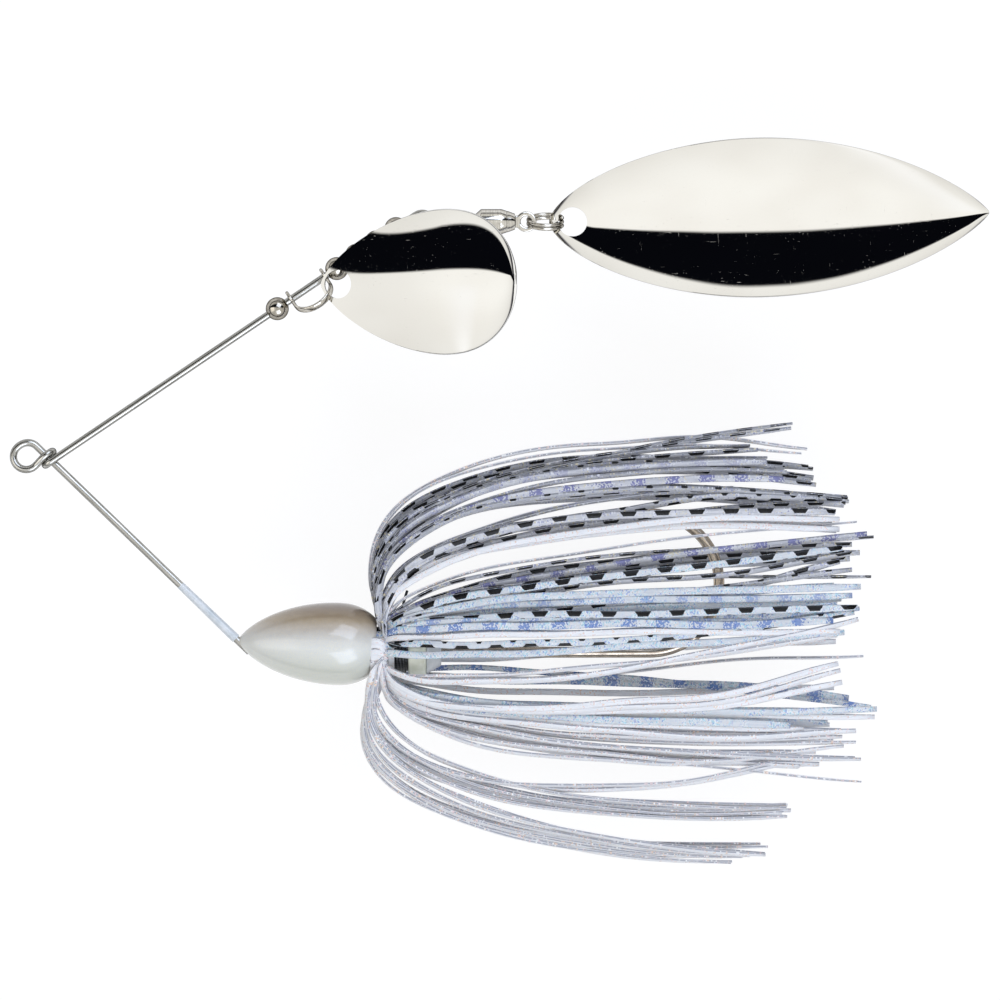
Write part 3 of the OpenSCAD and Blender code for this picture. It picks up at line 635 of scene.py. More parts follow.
# %% Pearl lacquer
pearl, tree, skin = shader("pearl_lacquer_misted_back")
place = node(tree, "ShaderNodeSeparateXYZ",
             {0: node(tree, "ShaderNodeTexCoord").outputs["Object"]})
droop = head_axis[1] / head_axis[0]
level = maths(tree, "MULTIPLY_ADD", place.outputs["X"], -droop,
              (droop * nose[0] - nose[1]) * MM)
height = maths(tree, "ADD", place.outputs["Y"], level)
spray = noise(tree, pattern_space(tree, (0.9, 0.9, 0.9)), 1.0, 6.0, 0.7)
mist = maths(tree, "MULTIPLY_ADD", spray, 0.9 * MM, -0.45 * MM)
height = maths(tree, "ADD", height, mist)
height = remap(tree, height, -5.2 * MM, 5.2 * MM, 0.0, 1.0)
tint = ramp(tree, height, [
    (0.0, "#cccdc0"), (0.22, "#d9dacf"), (0.45, "#e4e4de"), (0.58, "#dcd9d2"),
    (0.68, "#c9bfb2"), (0.78, "#b3a188"), (0.88, "#98846c"), (1.0, "#7a6c66")])
mica = noise(tree, pattern_space(tree, (9, 9, 9)), 1.0, 1.0)
flake = ramp(tree, mica, [(0.35, "#f3f6fc"), (0.65, "#fffdf6")])
link(tree, mix(tree, 1.0, tint, flake, "MULTIPLY"), skin.inputs["Base Color"])
skin.inputs["Roughness"].default_value = 0.38
skin.inputs["IOR"].default_value = 1.5
skin.inputs["Coat Weight"].default_value = 1.0
skin.inputs["Coat Roughness"].default_value = 0.05
peel = noise(tree, pattern_space(tree, (0.55, 0.55, 0.55)), 1.0, 2.0)
link(tree, bump(tree, peel, 0.35, 0.05), skin.inputs["Normal"])

head = surface("head_casting", [turned(np.concatenate([head_profile, shut[1:]]),
                                       nose, head_axis, 96),
                                turned(neck_profile, shank_at, X, 48)], crease=50)
hand_over(head, "frame", "head_paint", pearl, "head")

# %% [markdown]
# A little of the same paint is left on the wire where the head was dipped. It
# thins out up the arm, so it is a sleeve whose wall tapers away.

# %% Paint on the lower arm
coat_paint, tree, skin = shader("thin_lacquer_on_wire")
streak = noise(tree, uv_space(tree, 3, 0.8), 1.0, 4.0)
link(tree, ramp(tree, streak, [(0.3, "#c4cdd3"), (0.7, "#e4e7ea")]),
     skin.inputs["Base Color"])
skin.inputs["Roughness"].default_value = 0.3
skin.inputs["Coat Weight"].default_value = 0.6
link(tree, bump(tree, streak, 0.4, 0.03), skin.inputs["Normal"])
COAT_LEN, COAT_NOSE, COAT_TIP = 9.5, 0.14, 0.05
run = np.linspace(0, COAT_LEN, 40)
wall = COAT_NOSE + (COAT_TIP - COAT_NOSE) * run / COAT_LEN
outer = np.stack([run, WIRE_R + wall], -1)
inner = np.stack([run[::-1], np.full(40, WIRE_R + 0.02)], -1)
sleeve = surface("arm_paint", [turned(np.concatenate([outer, inner]),
                                      nose - 0.35 * low_dir, -low_dir, 24)],
                 loop=True, crease=50)
hand_over(sleeve, "frame", "arm_coat", coat_paint, "arm_coat")

# %% [markdown]
# The hook is one rod: a straight shank, half a circle, and a short point filed to
# a needle with a small barb cut on its inner side. The same sweep makes it, with a
# radius that shrinks along the point.

# %% Hook
HOOK_R, BEND_R, SHANK_LEN = 0.665, 8.55, 50.85
POINT_LEN, POINT_TAPER = 6.2, 3.4
bend_at = shank_at + [SHANK_LEN, BEND_R, 0]
bend = np.radians(np.linspace(-90, 90, 64))[:, None]
arc = bend_at + BEND_R * (np.cos(bend) * X + np.sin(bend) * Y)
point_start = bend_at + BEND_R * Y
straight = line(point_start, point_start - (POINT_LEN - POINT_TAPER) * X, 8)[1:]
needle = line(straight[-1], straight[-1] - POINT_TAPER * X, 24)[1:]
hook_path = np.concatenate([line(shank_at + 6.0 * X, arc[0], 40)[:-1], arc,
                            straight, needle])
taper = np.ones(len(hook_path))
taper[-23:] = 1 - (1 - 0.06 / HOOK_R) * np.linspace(0, 1, 24)[1:] ** 1.25
barb_root = straight[-1] - [0.3, 0, 0]
t = np.linspace(0, 1, 9)
barb_y = -HOOK_R * (0.45 + 0.55 * t) - 0.5 * t ** 1.5
spine = barb_root + np.stack([-1.2 + 2.2 * t, barb_y, 0 * t], -1)
barb = sweep(spine, rounded(0.4, 0.5, 2.6, 10), Z, 0.25 + 0.75 * np.sin(t * 2.4))
hook = surface("hook", [sweep(hook_path, disc(24), Z, HOOK_R * taper), barb])
hand_over(hook, "frame", "hook_wire", hook_plate, "hook")

# %% [markdown]
# The skirt is held by turns of black thread pulled tight over the gathered
# strands. Thread is a helix, and a second helix laid over the first at another
# pitch gives the crossed turns of a hand-tied binding. One end stands up.

# %% Binding thread
BINDING_AT, BINDING_LEN, BINDING_R = 18.5, 2.5, 2.7
THREAD_R = 0.25
turns_a = np.linspace(0, 10 * np.pi, 400)
turns_b = np.linspace(0, 9 * np.pi, 360)


def winding(angle, radius, wander):
    """A helix on the shank over the binding's length; wander shifts each turn."""
    t = angle / angle[-1]
    along = (BINDING_AT + THREAD_R + (BINDING_LEN - 2 * THREAD_R) * t
             + wander * np.sin(angle * 0.5))
    return shank_at + np.stack([along, radius * np.cos(angle + 0.6),
                                radius * np.sin(angle + 0.6)], -1)


t = np.linspace(0, 1, 30)
tail_foot = shank_at + [BINDING_AT + BINDING_LEN * 0.6, BINDING_R - 0.3, 0.3]
tail = tail_foot + np.stack([0.9 * t ** 2, 5.2 * t, 0.5 * np.sin(np.pi * t)], -1)
under = turned([[BINDING_AT + 0.02, 2.27], [BINDING_AT + 0.1, 2.3],
                [BINDING_AT + BINDING_LEN - 0.1, 2.3],
                [BINDING_AT + BINDING_LEN - 0.02, 2.27]], shank_at, X, 48)
binding = surface("binding_thread", [
    sweep(winding(turns_a, BINDING_R - THREAD_R, 0.0), disc(8), X, THREAD_R),
    sweep(winding(turns_b[::-1], BINDING_R - THREAD_R * 0.9, 0.09), disc(8), X,
          THREAD_R * 0.9),
    sweep(tail, disc(8), X, 0.17), under])
thread, tree, skin = shader("waxed_black_thread")
twist = node(tree, "ShaderNodeTexWave", {"Vector": uv_space(tree, 1.0, 2.2),
             "Scale": 1.0, "Distortion": 0.6}, wave_type="BANDS",
             bands_direction="DIAGONAL")
link(tree, ramp(tree, twist.outputs["Fac"], [(0.2, "#0b0c0e"), (0.9, "#24272c")]),
     skin.inputs["Base Color"])
skin.inputs["Roughness"].default_value = 0.3
skin.inputs["Coat Weight"].default_value = 0.5
skin.inputs["Coat Roughness"].default_value = 0.15
link(tree, bump(tree, twist.outputs["Fac"], 0.5, 0.05), skin.inputs["Normal"])
hand_over(binding, "frame", "binding_thread", thread, "skirt_binding")

# %% [markdown]
# Behind the thread come a short cream rubber collar, cut from tube, and a clear
# stop that grips a soft trailer. Both are turned forms with softened edges.

# %% Collar and keeper
def softened(corners, soft):
    """A turned profile whose corners are cut by short chamfers, for a moulded
    edge: each corner gives two points, a little way along its two sides."""
    c = np.asarray(corners, float)
    before = c - unit(c - np.roll(c, 1, axis=0)) * soft
    after = c + unit(np.roll(c, -1, axis=0) - c) * soft
    cut = np.stack([before, c * 0.5 + (before + after) * 0.25, after], 1)
    return cut.reshape(-1, 2)


COLLAR_AT, COLLAR_LEN, COLLAR_R = 21.05, 2.2, 3.1
KEEPER_AT, KEEPER_LEN = 23.3, 1.8
collar_outline = [[COLLAR_AT, 1.48], [COLLAR_AT, COLLAR_R],
                  [COLLAR_AT + COLLAR_LEN, COLLAR_R], [COLLAR_AT + COLLAR_LEN, 1.48]]
collar = surface("collar", [turned(softened(collar_outline, 0.28), shank_at, X, 64)],
                 loop=True)
rubber, tree, skin = shader("cream_silicone_rubber")
bloom = noise(tree, pattern_space(tree, (1.2, 1.2, 1.2)), 1.0, 5.0, 0.6)
link(tree, ramp(tree, bloom, [(0.3, "#e0e2cc"), (0.7, "#eff0e0")]),
     skin.inputs["Base Color"])
skin.inputs["Roughness"].default_value = 0.45
skin.inputs["Sheen Weight"].default_value = 0.2
link(tree, bump(tree, bloom, 0.3, 0.04), skin.inputs["Normal"])
hand_over(collar, "frame", "collar_rubber", rubber, "skirt_collar")

keeper_outline = [[KEEPER_AT, 0.69], [KEEPER_AT, COLLAR_R - 0.4],
                  [KEEPER_AT + KEEPER_LEN, 1.65], [KEEPER_AT + KEEPER_LEN, 0.69]]
keeper = surface("trailer_keeper", [turned(softened(keeper_outline, 0.18),
                                           shank_at, X, 64)], loop=True)
clear_plastic, tree, skin = shader("clear_vinyl")
haze = noise(tree, pattern_space(tree, (1.5, 1.5, 1.5)), 1.0, 3.0)
link(tree, ramp(tree, haze, [(0.3, "#eef1f2"), (0.7, "#fcfdfd")]),
     skin.inputs["Base Color"])
skin.inputs["Roughness"].default_value = 0.12
skin.inputs["IOR"].default_value = 1.45
skin.inputs["Transmission Weight"].default_value = 0.3
link(tree, bump(tree, haze, 0.2, 0.05), skin.inputs["Normal"])
hand_over(keeper, "frame", "keeper_clear", clear_plastic, "trailer_keeper")

# %% [markdown]
# Five beads ride on the upper arm. The front one is pinched tight as a stop, the
# rest spin. A bead is a ball on a lathe with a drilled bore: its outline is most
# of a circle, closed by the wall of the bore.

# %% Beads
BEAD_R, GAP = 1.425, 0.05
EAR_SPAN, STRAP_W, STRAP_T, CLEVIS_DEPTH = 5.05, 0.85, 0.4, 4.3
STOP_AT = UPPER_LEN - 20.6
ear_1 = STOP_AT + BEAD_R + GAP + STRAP_T + 0.2
ear_2 = ear_1 + EAR_SPAN
bead_1_at = ear_2 + STRAP_T / 2 + GAP + BEAD_R + 0.05
BEAD_PITCH = 2 * BEAD_R + 0.09


def bead(name, at, bore, body, *nodes):
    """Distance along is minus the cosine, radius is the sine; the bore closes it."""
    start = math.asin(bore / BEAD_R) + 0.02
    a = np.linspace(start, np.pi - start, 40)
    ball = np.stack([at - BEAD_R * np.cos(a), BEAD_R * np.sin(a)], -1)
    reach = BEAD_R * math.cos(start) - 0.04
    hole = np.array([[at + reach, bore], [at - reach, bore]])
    made = surface(name, [turned(np.concatenate([ball, hole]), up_start, up_dir, 56)],
                   loop=True, crease=40)
    return hand_over(made, body, "bead_metal", bead_plate, *nodes)


bead("stop_bead_metal", STOP_AT, WIRE_R + 0.004, "frame", "stop_bead")
for k in range(4):
    bead(f"bead_{k + 1}_metal", bead_1_at + k * BEAD_PITCH, WIRE_R + GAP,
         f"bead_{k + 1}", f"bead_{k + 1}")

# %% [markdown]
# The clevis is a stamped strap bent to a U. Its two drilled ears ride on the wire
# and the blade hangs in its bow. The bow is an oblong section carried along a U,
# and each ear is a washer with a soft edge, square to the wire.

# %% Clevis
clevis_mid = (ear_1 + ear_2) / 2
lean = math.radians(53)
clevis_out = math.cos(lean) * up_side + math.sin(lean) * Z
BOW_R = EAR_SPAN / 2
LEG = CLEVIS_DEPTH - BOW_R
EAR_R = 1.15
turn = np.linspace(np.pi, 0, 40)
foot, knee = np.linspace(0.72, LEG, 8)[:-1], np.linspace(LEG, 0.72, 8)[1:]
along = np.concatenate([np.full(7, -BOW_R), BOW_R * np.cos(turn), np.full(7, BOW_R)])
out = np.concatenate([foot, LEG + BOW_R * np.sin(turn), knee])
strap_path = (up_start + (clevis_mid + along)[:, None] * up_dir
              + out[:, None] * clevis_out)
strap = sweep(strap_path, rounded(STRAP_W, STRAP_T, 3.0, 20),
              np.cross(up_dir, clevis_out))


def washer(at):
    """A flat ring: bore, face, rounded rim, face, back to the bore."""
    rim = np.linspace(-90, 90, 9)
    half = STRAP_T / 2
    edge = np.stack([at + half * np.sin(np.radians(rim)),
                     EAR_R - half + half * np.cos(np.radians(rim))], -1)
    bore = np.array([[at + half, WIRE_R + GAP], [at - half, WIRE_R + GAP]])
    return turned(np.concatenate([edge, bore]), up_start, up_dir, 48)


strap_piece = surface("clevis_strap", [strap], crease=50)
hand_over(strap_piece, "clevis", "fittings", fitting_plate, "clevis")
ears = surface("clevis_ears", [washer(ear_1), washer(ear_2)], loop=True, crease=50)
hand_over(ears, "clevis", "fittings", fitting_plate)

# %% [markdown]
# A blade is sheet metal pressed in a die: its outline is two power curves, a bow
# before the widest place and a stern after it, and its dish rises from nothing at
# the rim. The grid runs round the blade and out from its hole to its rim, over the
# rim, back under, and up the wall of the hole, so the sheet closes on itself.

# %% Blades
BLADE_T = 0.45


def blade_half(u, peak, bow, stern):
    """Half width as a share of the widest, at a share u of the length."""
    front = np.clip(1 - np.abs((peak - u) / peak) ** bow[0], 0, 1) ** bow[1]
    rear = np.clip(1 - np.abs((u - peak) / (1 - peak)) ** stern[0], 0, 1) ** stern[1]
    return np.where(u < peak, front, rear)


def pressed_blade(length, width, dish, shape, hole_at, hole_r, columns, rows,
                  belly):
    """Grid of the blade in its own frame: tip at the origin, length along +X, rim
    in the XY plane. shape is the outline: where it is widest, as a share of the
    length, and the two powers of each end. Its height is the dish times one less
    the share across squared, times the share of full width to the power belly,
    which has one value before the widest place and one after it."""
    phi = np.linspace(0, 2 * np.pi, 4001)
    u = (1 - np.cos(phi)) / 2 * 0.998 + 0.001
    side = np.where(phi <= np.pi, 1.0, -1.0)
    rim = np.stack([u * length, side * width / 2 * blade_half(u, *shape)], -1)
    about = np.unwrap(np.arctan2(rim[:, 1], rim[:, 0] - hole_at))
    about = np.maximum.accumulate(-about)
    mixed = 0.45 * (about - about[0]) / (about[-1] - about[0]) + 0.55 * phi / phi[-1]
    pick = np.interp((np.arange(columns) + 0.5) / columns, mixed, phi)
    rim_x, rim_y = (np.interp(pick, phi, rim[:, k]) for k in (0, 1))
    angle = np.arctan2(rim_y, rim_x - hole_at)
    hole_x, hole_y = hole_at + hole_r * np.cos(angle), hole_r * np.sin(angle)
    t = np.linspace(0, 1, rows)[:, None] ** 0.85
    x = (1 - t) * hole_x + t * rim_x
    y = (1 - t) * hole_y + t * rim_y
    half = width / 2 * blade_half(np.clip(x / length, 0.001, 0.999), *shape)
    v = np.clip(np.abs(y) / np.maximum(half, 0.01), 0, 1)
    power = np.where(x < shape[0] * length, *belly)
    z = dish * (1 - v ** 2) * (half / (width / 2)) ** power
    over = np.stack([x, y, z + BLADE_T], -1)
    under = np.stack([x, y, z], -1)
    mid = (over[-1] + under[-1]) / 2
    out = unit(np.stack([rim_x - length / 2, rim_y * 2.2, 0 * rim_x], -1))
    bulge, lip = 0.1, 0.16 * Z
    edge = np.stack([mid + lip + out * bulge * 0.8, mid + out * bulge,
                     mid - lip + out * bulge * 0.8]) - out * bulge
    over[-1] -= out * bulge * 0.6
    under[-1] -= out * bulge * 0.6
    return np.concatenate([over, edge, under[::-1]])


def turn_z(angle):
    """A turn about Z, in degrees, as a matrix."""
    c, s = math.cos(math.radians(angle)), math.sin(math.radians(angle))
    return np.array([[c, -s, 0], [s, c, 0], [0, 0, 1]])


def turn_y(angle):
    """A turn about Y, in degrees, as a matrix."""
    c, s = math.cos(math.radians(angle)), math.sin(math.radians(angle))
    return np.array([[c, 0, s], [0, 1, 0], [-s, 0, c]])


COLORADO_LEN, COLORADO_WIDTH, COLORADO_DISH = 24.8, 17.9, 2.35
COLORADO_OUTLINE = (0.63, (1.7, 0.7), (2.3, 0.5))
COLORADO_HOLE_R, COLORADO_TILT, COLORADO_TURN = 1.75, 13.3, 0.9
colorado_hole_at = COLORADO_HOLE_R + 0.5
colorado_hole = (up_start + (ear_2 + 0.9) * up_dir + 1.85 * up_side + 2.15 * Z)
grid = pressed_blade(COLORADO_LEN, COLORADO_WIDTH, COLORADO_DISH, COLORADO_OUTLINE,
                     colorado_hole_at, COLORADO_HOLE_R, 300, 60, belly=(2.3, 1.0))
grid = ((grid - [colorado_hole_at, 0, 0]) @ turn_y(-COLORADO_TILT).T
        @ turn_z(COLORADO_TURN).T + colorado_hole)
colorado = surface("teardrop_blade", [grid[:, ::-1]], loop=True, crease=40)
hand_over(colorado, "colorado", "blade_plate", blade_plate, "colorado_blade")

WILLOW_LEN, WILLOW_WIDTH, WILLOW_DISH = 54.4, 19.7, -2.5
WILLOW_OUTLINE = (0.475, (1.9, 0.64), (2, 0.8))
WILLOW_HOLE_R, WILLOW_TURN = 1.8, 1.25
willow_hole_at = WILLOW_HOLE_R + 1.15
willow_hole = pivot["willow_swing"] + (WILLOW_HOLE_R - 0.525) * X  # ring near rim
grid = pressed_blade(WILLOW_LEN, WILLOW_WIDTH, WILLOW_DISH, WILLOW_OUTLINE,
                     willow_hole_at, WILLOW_HOLE_R, 420, 70, belly=(0.7, 0.8))
grid = ((grid - [willow_hole_at, 0, BLADE_T / 2 - 0.4]) @ turn_z(WILLOW_TURN).T
        + willow_hole)
willow = surface("willow_leaf_blade", [grid[:, ::-1]], loop=True, crease=40)
hand_over(willow, "willow", "blade_plate", blade_plate, "willow_blade")
shade_from_lamps(colorado, willow)

# %% [markdown]
# Between the wire's far eye and the long blade sit a round ring, a ball-bearing
# swivel and a split ring. The ring is a circle swept round a circle. The split
# ring is two turns of finer wire side by side, so its path is a flat helix.

# %% Rings
RING_R, RING_D, SPLIT_D = 2.0, 0.7, 0.45
ring_mid = pivot["ring_swing"] + RING_R * X
a = np.linspace(0, 2 * np.pi, 73)[:-1]
tube = disc(20)
rad = RING_R + RING_D / 2 * tube[:, 0]
ring_grid = ring_mid + np.stack([rad * np.cos(a)[:, None],
                                 RING_D / 2 * tube[:, 1] + 0 * a[:, None],
                                 rad * np.sin(a)[:, None]], -1)
ring = surface("swivel_ring_wire", [ring_grid], loop=True)
hand_over(ring, "ring", "fittings", fitting_plate, "swivel_ring")

split_r, split_tilt = RING_R + 0.1, math.radians(18)
split_mid = pivot["split_swing"] + split_r * X
split_lean = np.array([0, -math.sin(split_tilt), math.cos(split_tilt)])
split_normal = np.array([0, math.cos(split_tilt), math.sin(split_tilt)])
a = np.linspace(0, 4 * np.pi, 145)[:, None]
split_path = (split_mid + split_r * (np.cos(a) * X + np.sin(a) * split_lean)
              + (SPLIT_D + 0.02) * (a / (2 * np.pi) - 1) * split_normal)
split = surface("split_ring_wire", [sweep(split_path, disc(12), split_normal,
                                          SPLIT_D / 2)])
hand_over(split, "split", "fittings", fitting_plate, "split_ring")

# %% [markdown]
# The swivel's barrel is turned brass with a cone at each end. An eye on a shaft
# comes out of the front, running on a ring of small balls, and a plug with the
# rear eye closes the back. Each eye is a flattened ring that flows into its stem.

# %% Swivel
BARREL_R, BARREL_LEN, SHAFT_R, LIP, CAVITY_R = 1.55, 4.05, 0.5, 0.75, 1.12
barrel_at = pivot["barrel_spin"]
mouth = BARREL_R / 2
barrel_outline = [[0, SHAFT_R + GAP], [0, mouth], [0.85, BARREL_R],
                  [BARREL_LEN - 0.7, BARREL_R], [BARREL_LEN, BARREL_R - 0.22],
                  [BARREL_LEN, CAVITY_R], [LIP, CAVITY_R], [LIP, SHAFT_R + GAP]]
barrel = surface("swivel_barrel_shell", [turned(softened(barrel_outline, 0.09),
                                                barrel_at, X, 64)],
                 loop=True, crease=30)
hand_over(barrel, "barrel", "swivel_metal", swivel_plate, "swivel_barrel")


def flat_eye(centre, hole, wall, thick, reach, neck, toward):
    """A flattened ring that runs back into a stem. Round it, the outer edge is
    the larger of the ring's own radius and the stem's edge, and a rounded section
    joins it to the hole. toward is +1 or -1 along X."""
    a = np.linspace(0, 2 * np.pi, 65)[:-1]
    c, s = np.cos(a), np.sin(a)
    stem = np.where(c > 0, np.minimum(reach / np.maximum(c, 1e-3),
                                      neck / np.maximum(np.abs(s), 1e-3)), 0)
    outer = np.maximum(hole + wall, stem)
    h = np.linspace(-np.pi, np.pi, 17)[:-1]
    bend_in, bend_up = np.cos(h), np.sin(h)
    middle, half = (outer + hole)[:, None] / 2, (outer - hole)[:, None] / 2
    r = middle + half * np.sign(bend_in) * np.abs(bend_in) ** 0.5
    z = thick / 2 * np.sign(bend_up) * np.abs(bend_up) ** 0.5
    grid = np.stack([toward * r * c[:, None], r * s[:, None], z + 0 * r], -1)
    return centre + (grid if toward > 0 else grid[:, ::-1])


eye_hole = pivot["eye_swing"] + 0.16 * X
end_hole = pivot["split_swing"] - 0.25 * X
shaft_end = 1.8 + LIP + 0.6
front_eye = surface("swivel_front_eye", [
    flat_eye(eye_hole, 0.56, 0.42, 0.6, 1.45, 0.72, 1)], loop=True)
hand_over(front_eye, "eye", "swivel_metal", swivel_plate, "swivel_eye")
shaft = surface("swivel_front_shaft", [turned(
    [[1.2, 0.36], [1.3, SHAFT_R], [shaft_end, SHAFT_R], [shaft_end + 0.01, 0.97],
     [shaft_end + 0.6, 0.97], [shaft_end + 0.62, 0.2]], eye_hole, X, 40)], crease=40)
hand_over(shaft, "eye", "swivel_metal", swivel_plate)
rear_eye = surface("swivel_rear_eye", [
    flat_eye(end_hole, 0.68, 0.6, 0.45, 1.6, 0.75, -1)], loop=True)
hand_over(rear_eye, "barrel", "swivel_metal", swivel_plate, "swivel_end_eye")
cone = surface("swivel_rear_cone", [turned(
    [[-0.9, 0.3], [-0.89, 1.1], [0.0, 1.1], [0.01, 1.3], [0.06, 1.33], [0.5, 1.16],
     [0.95, 1.0], [1.0, 0.95], [1.01, 0.3]], barrel_at + [BARREL_LEN, 0, 0], X, 56)],
    crease=35)
hand_over(cone, "barrel", "swivel_metal", swivel_plate)
ball = frame["nodes"]["swivel_balls"]
ball_metal = frame["nodes"]["swivel_balls"].data.materials
ball_metal.clear()
ball_metal.append(swivel_plate)
core_metal = frame["nodes"]["skirt_core"].data.materials

# %% [markdown]
# The skirt is what the eye goes to first: about 120 strands of silicone rubber,
# cut from printed sheet, in flat ribbons about a millimetre wide. They lie under
# the thread, run forward, fold back over it and stream aft. Strands from one cut
# stay together in locks, so the skirt is a table of locks, as a skirt is laid by
# hand. Each lock says how far it rises from the shank at mid length, where its
# tips end, how many strands it has, how far they spread, how far its middle
# stands towards the eye or away, whether its ribbons are seen flat or on edge,
# and at which angle round the shank it leaves the thread.

# %% The fold and the run of a strand
ROOT_ALONG = 17.52  # from the nose to the circle where the strands spring
SKIRT_AT = shank_at + ROOT_ALONG * X
MAIN_ROWS, FOLD_ROWS = 64, 14
THREAD_TOP, NECK_TOP, ROOT_R = 2.9, 3.3, 3.4  # radii under, before and over the fold


def bezier(corners, t):
    """A cubic curve: each corner by its share of (1 - t) and t. Corners shaped
    (strand, corner, 3) give paths shaped (strand, row, 3)."""
    t = t[None, :, None]
    a, b, c, d = (corners[:, k:k + 1] for k in range(4))
    return ((1 - t) ** 3 * a + 3 * (1 - t) ** 2 * t * b + 3 * (1 - t) * t ** 2 * c
            + t ** 3 * d)


def strand_paths(rise, depth, reach, tip, tip_depth, start):
    """Paths of many strands at once, in the skirt's own frame: X aft, Y up, Z to
    the eye. Two cubics join at the root, which leaves the shank at the angle
    start. The short one runs forward from under the thread and folds back. In the
    long one, corner two lies ahead of the root by what the strand rises, which
    gives the wide forward bow of the outer strands; corner three lies over the
    middle of the run."""
    way = np.stack([0 * start, np.cos(start), np.sin(start)], -1)
    spread = np.hypot(rise, depth * 0.6)
    hang = np.clip(-rise / 25, 0, 1) ** 1.5
    lift = np.clip(rise / 25, 0, 1) ** 1.5
    flare = 1.2 + 2.2 * np.exp(-(rise / 8) ** 2)
    root = ROOT_R * way + 0.8 * X
    two = np.stack([7 - 0.48 * spread - 6.5 * hang - lift, 0.65 * rise,
                    0.7 * depth], -1) + way * flare[:, None]
    three = np.stack([25 - 0.56 * np.abs(rise) + 3 * hang, 1.04 * rise, depth], -1)
    end = np.stack([reach, tip, tip_depth], -1)
    main = bezier(np.stack([root, two, three, end], 1), np.linspace(0, 1, MAIN_ROWS))
    lead = unit(two - root)
    fold = bezier(np.stack([THREAD_TOP * way + 1.8 * X, NECK_TOP * way - 3.6 * X,
                            root + 0.5 * way - 2.0 * lead - 1.9 * X, root], 1),
                  np.linspace(0, 1, FOLD_ROWS))
    return np.concatenate([fold[:, :-1], main], 1)


def ribbons(paths, start, width, thick, roll_root, roll_tip):
    """A rounded ribbon along each path. Near its root its width lies round the
    shank. Further out it lies across the view, rolled from roll_root to roll_tip
    about the path, so that one strand shows its face and the next its edge."""
    rows = paths.shape[1]
    head = unit(np.gradient(paths, axis=1))
    round_shank = np.stack([0 * start, np.sin(start), -np.cos(start)], -1)[:, None]
    across = np.cross(np.broadcast_to(Z, head.shape), head)
    far = ease((np.arange(rows) - FOLD_ROWS + 4) / 16)[None, :, None]
    side = (1 - far) * round_shank + far * across
    side = side - (side * head).sum(-1, keepdims=True) * head
    side = unit(side + 1e-6)
    up = np.cross(head, side)
    t = np.linspace(0, 1, rows)[None]
    roll = (roll_root[:, None] * (1 - t) + roll_tip[:, None] * t) * far[..., 0]
    c, s = np.cos(roll)[..., None], np.sin(roll)[..., None]
    side, up = c * side + s * up, c * up - s * side
    section = rounded(1.0, 1.0, 2.8, 10)
    grow = (0.62 + 0.38 * ease(t * 6)) * (1 - 0.25 * ease((t - 0.97) / 0.03))
    wide = (width[:, None] * grow)[..., None, None]
    tall = (thick[:, None] * grow)[..., None, None]
    return (paths[:, :, None] + wide * section[None, None, :, :1] * side[:, :, None]
            + tall * section[None, None, :, 1:] * up[:, :, None])

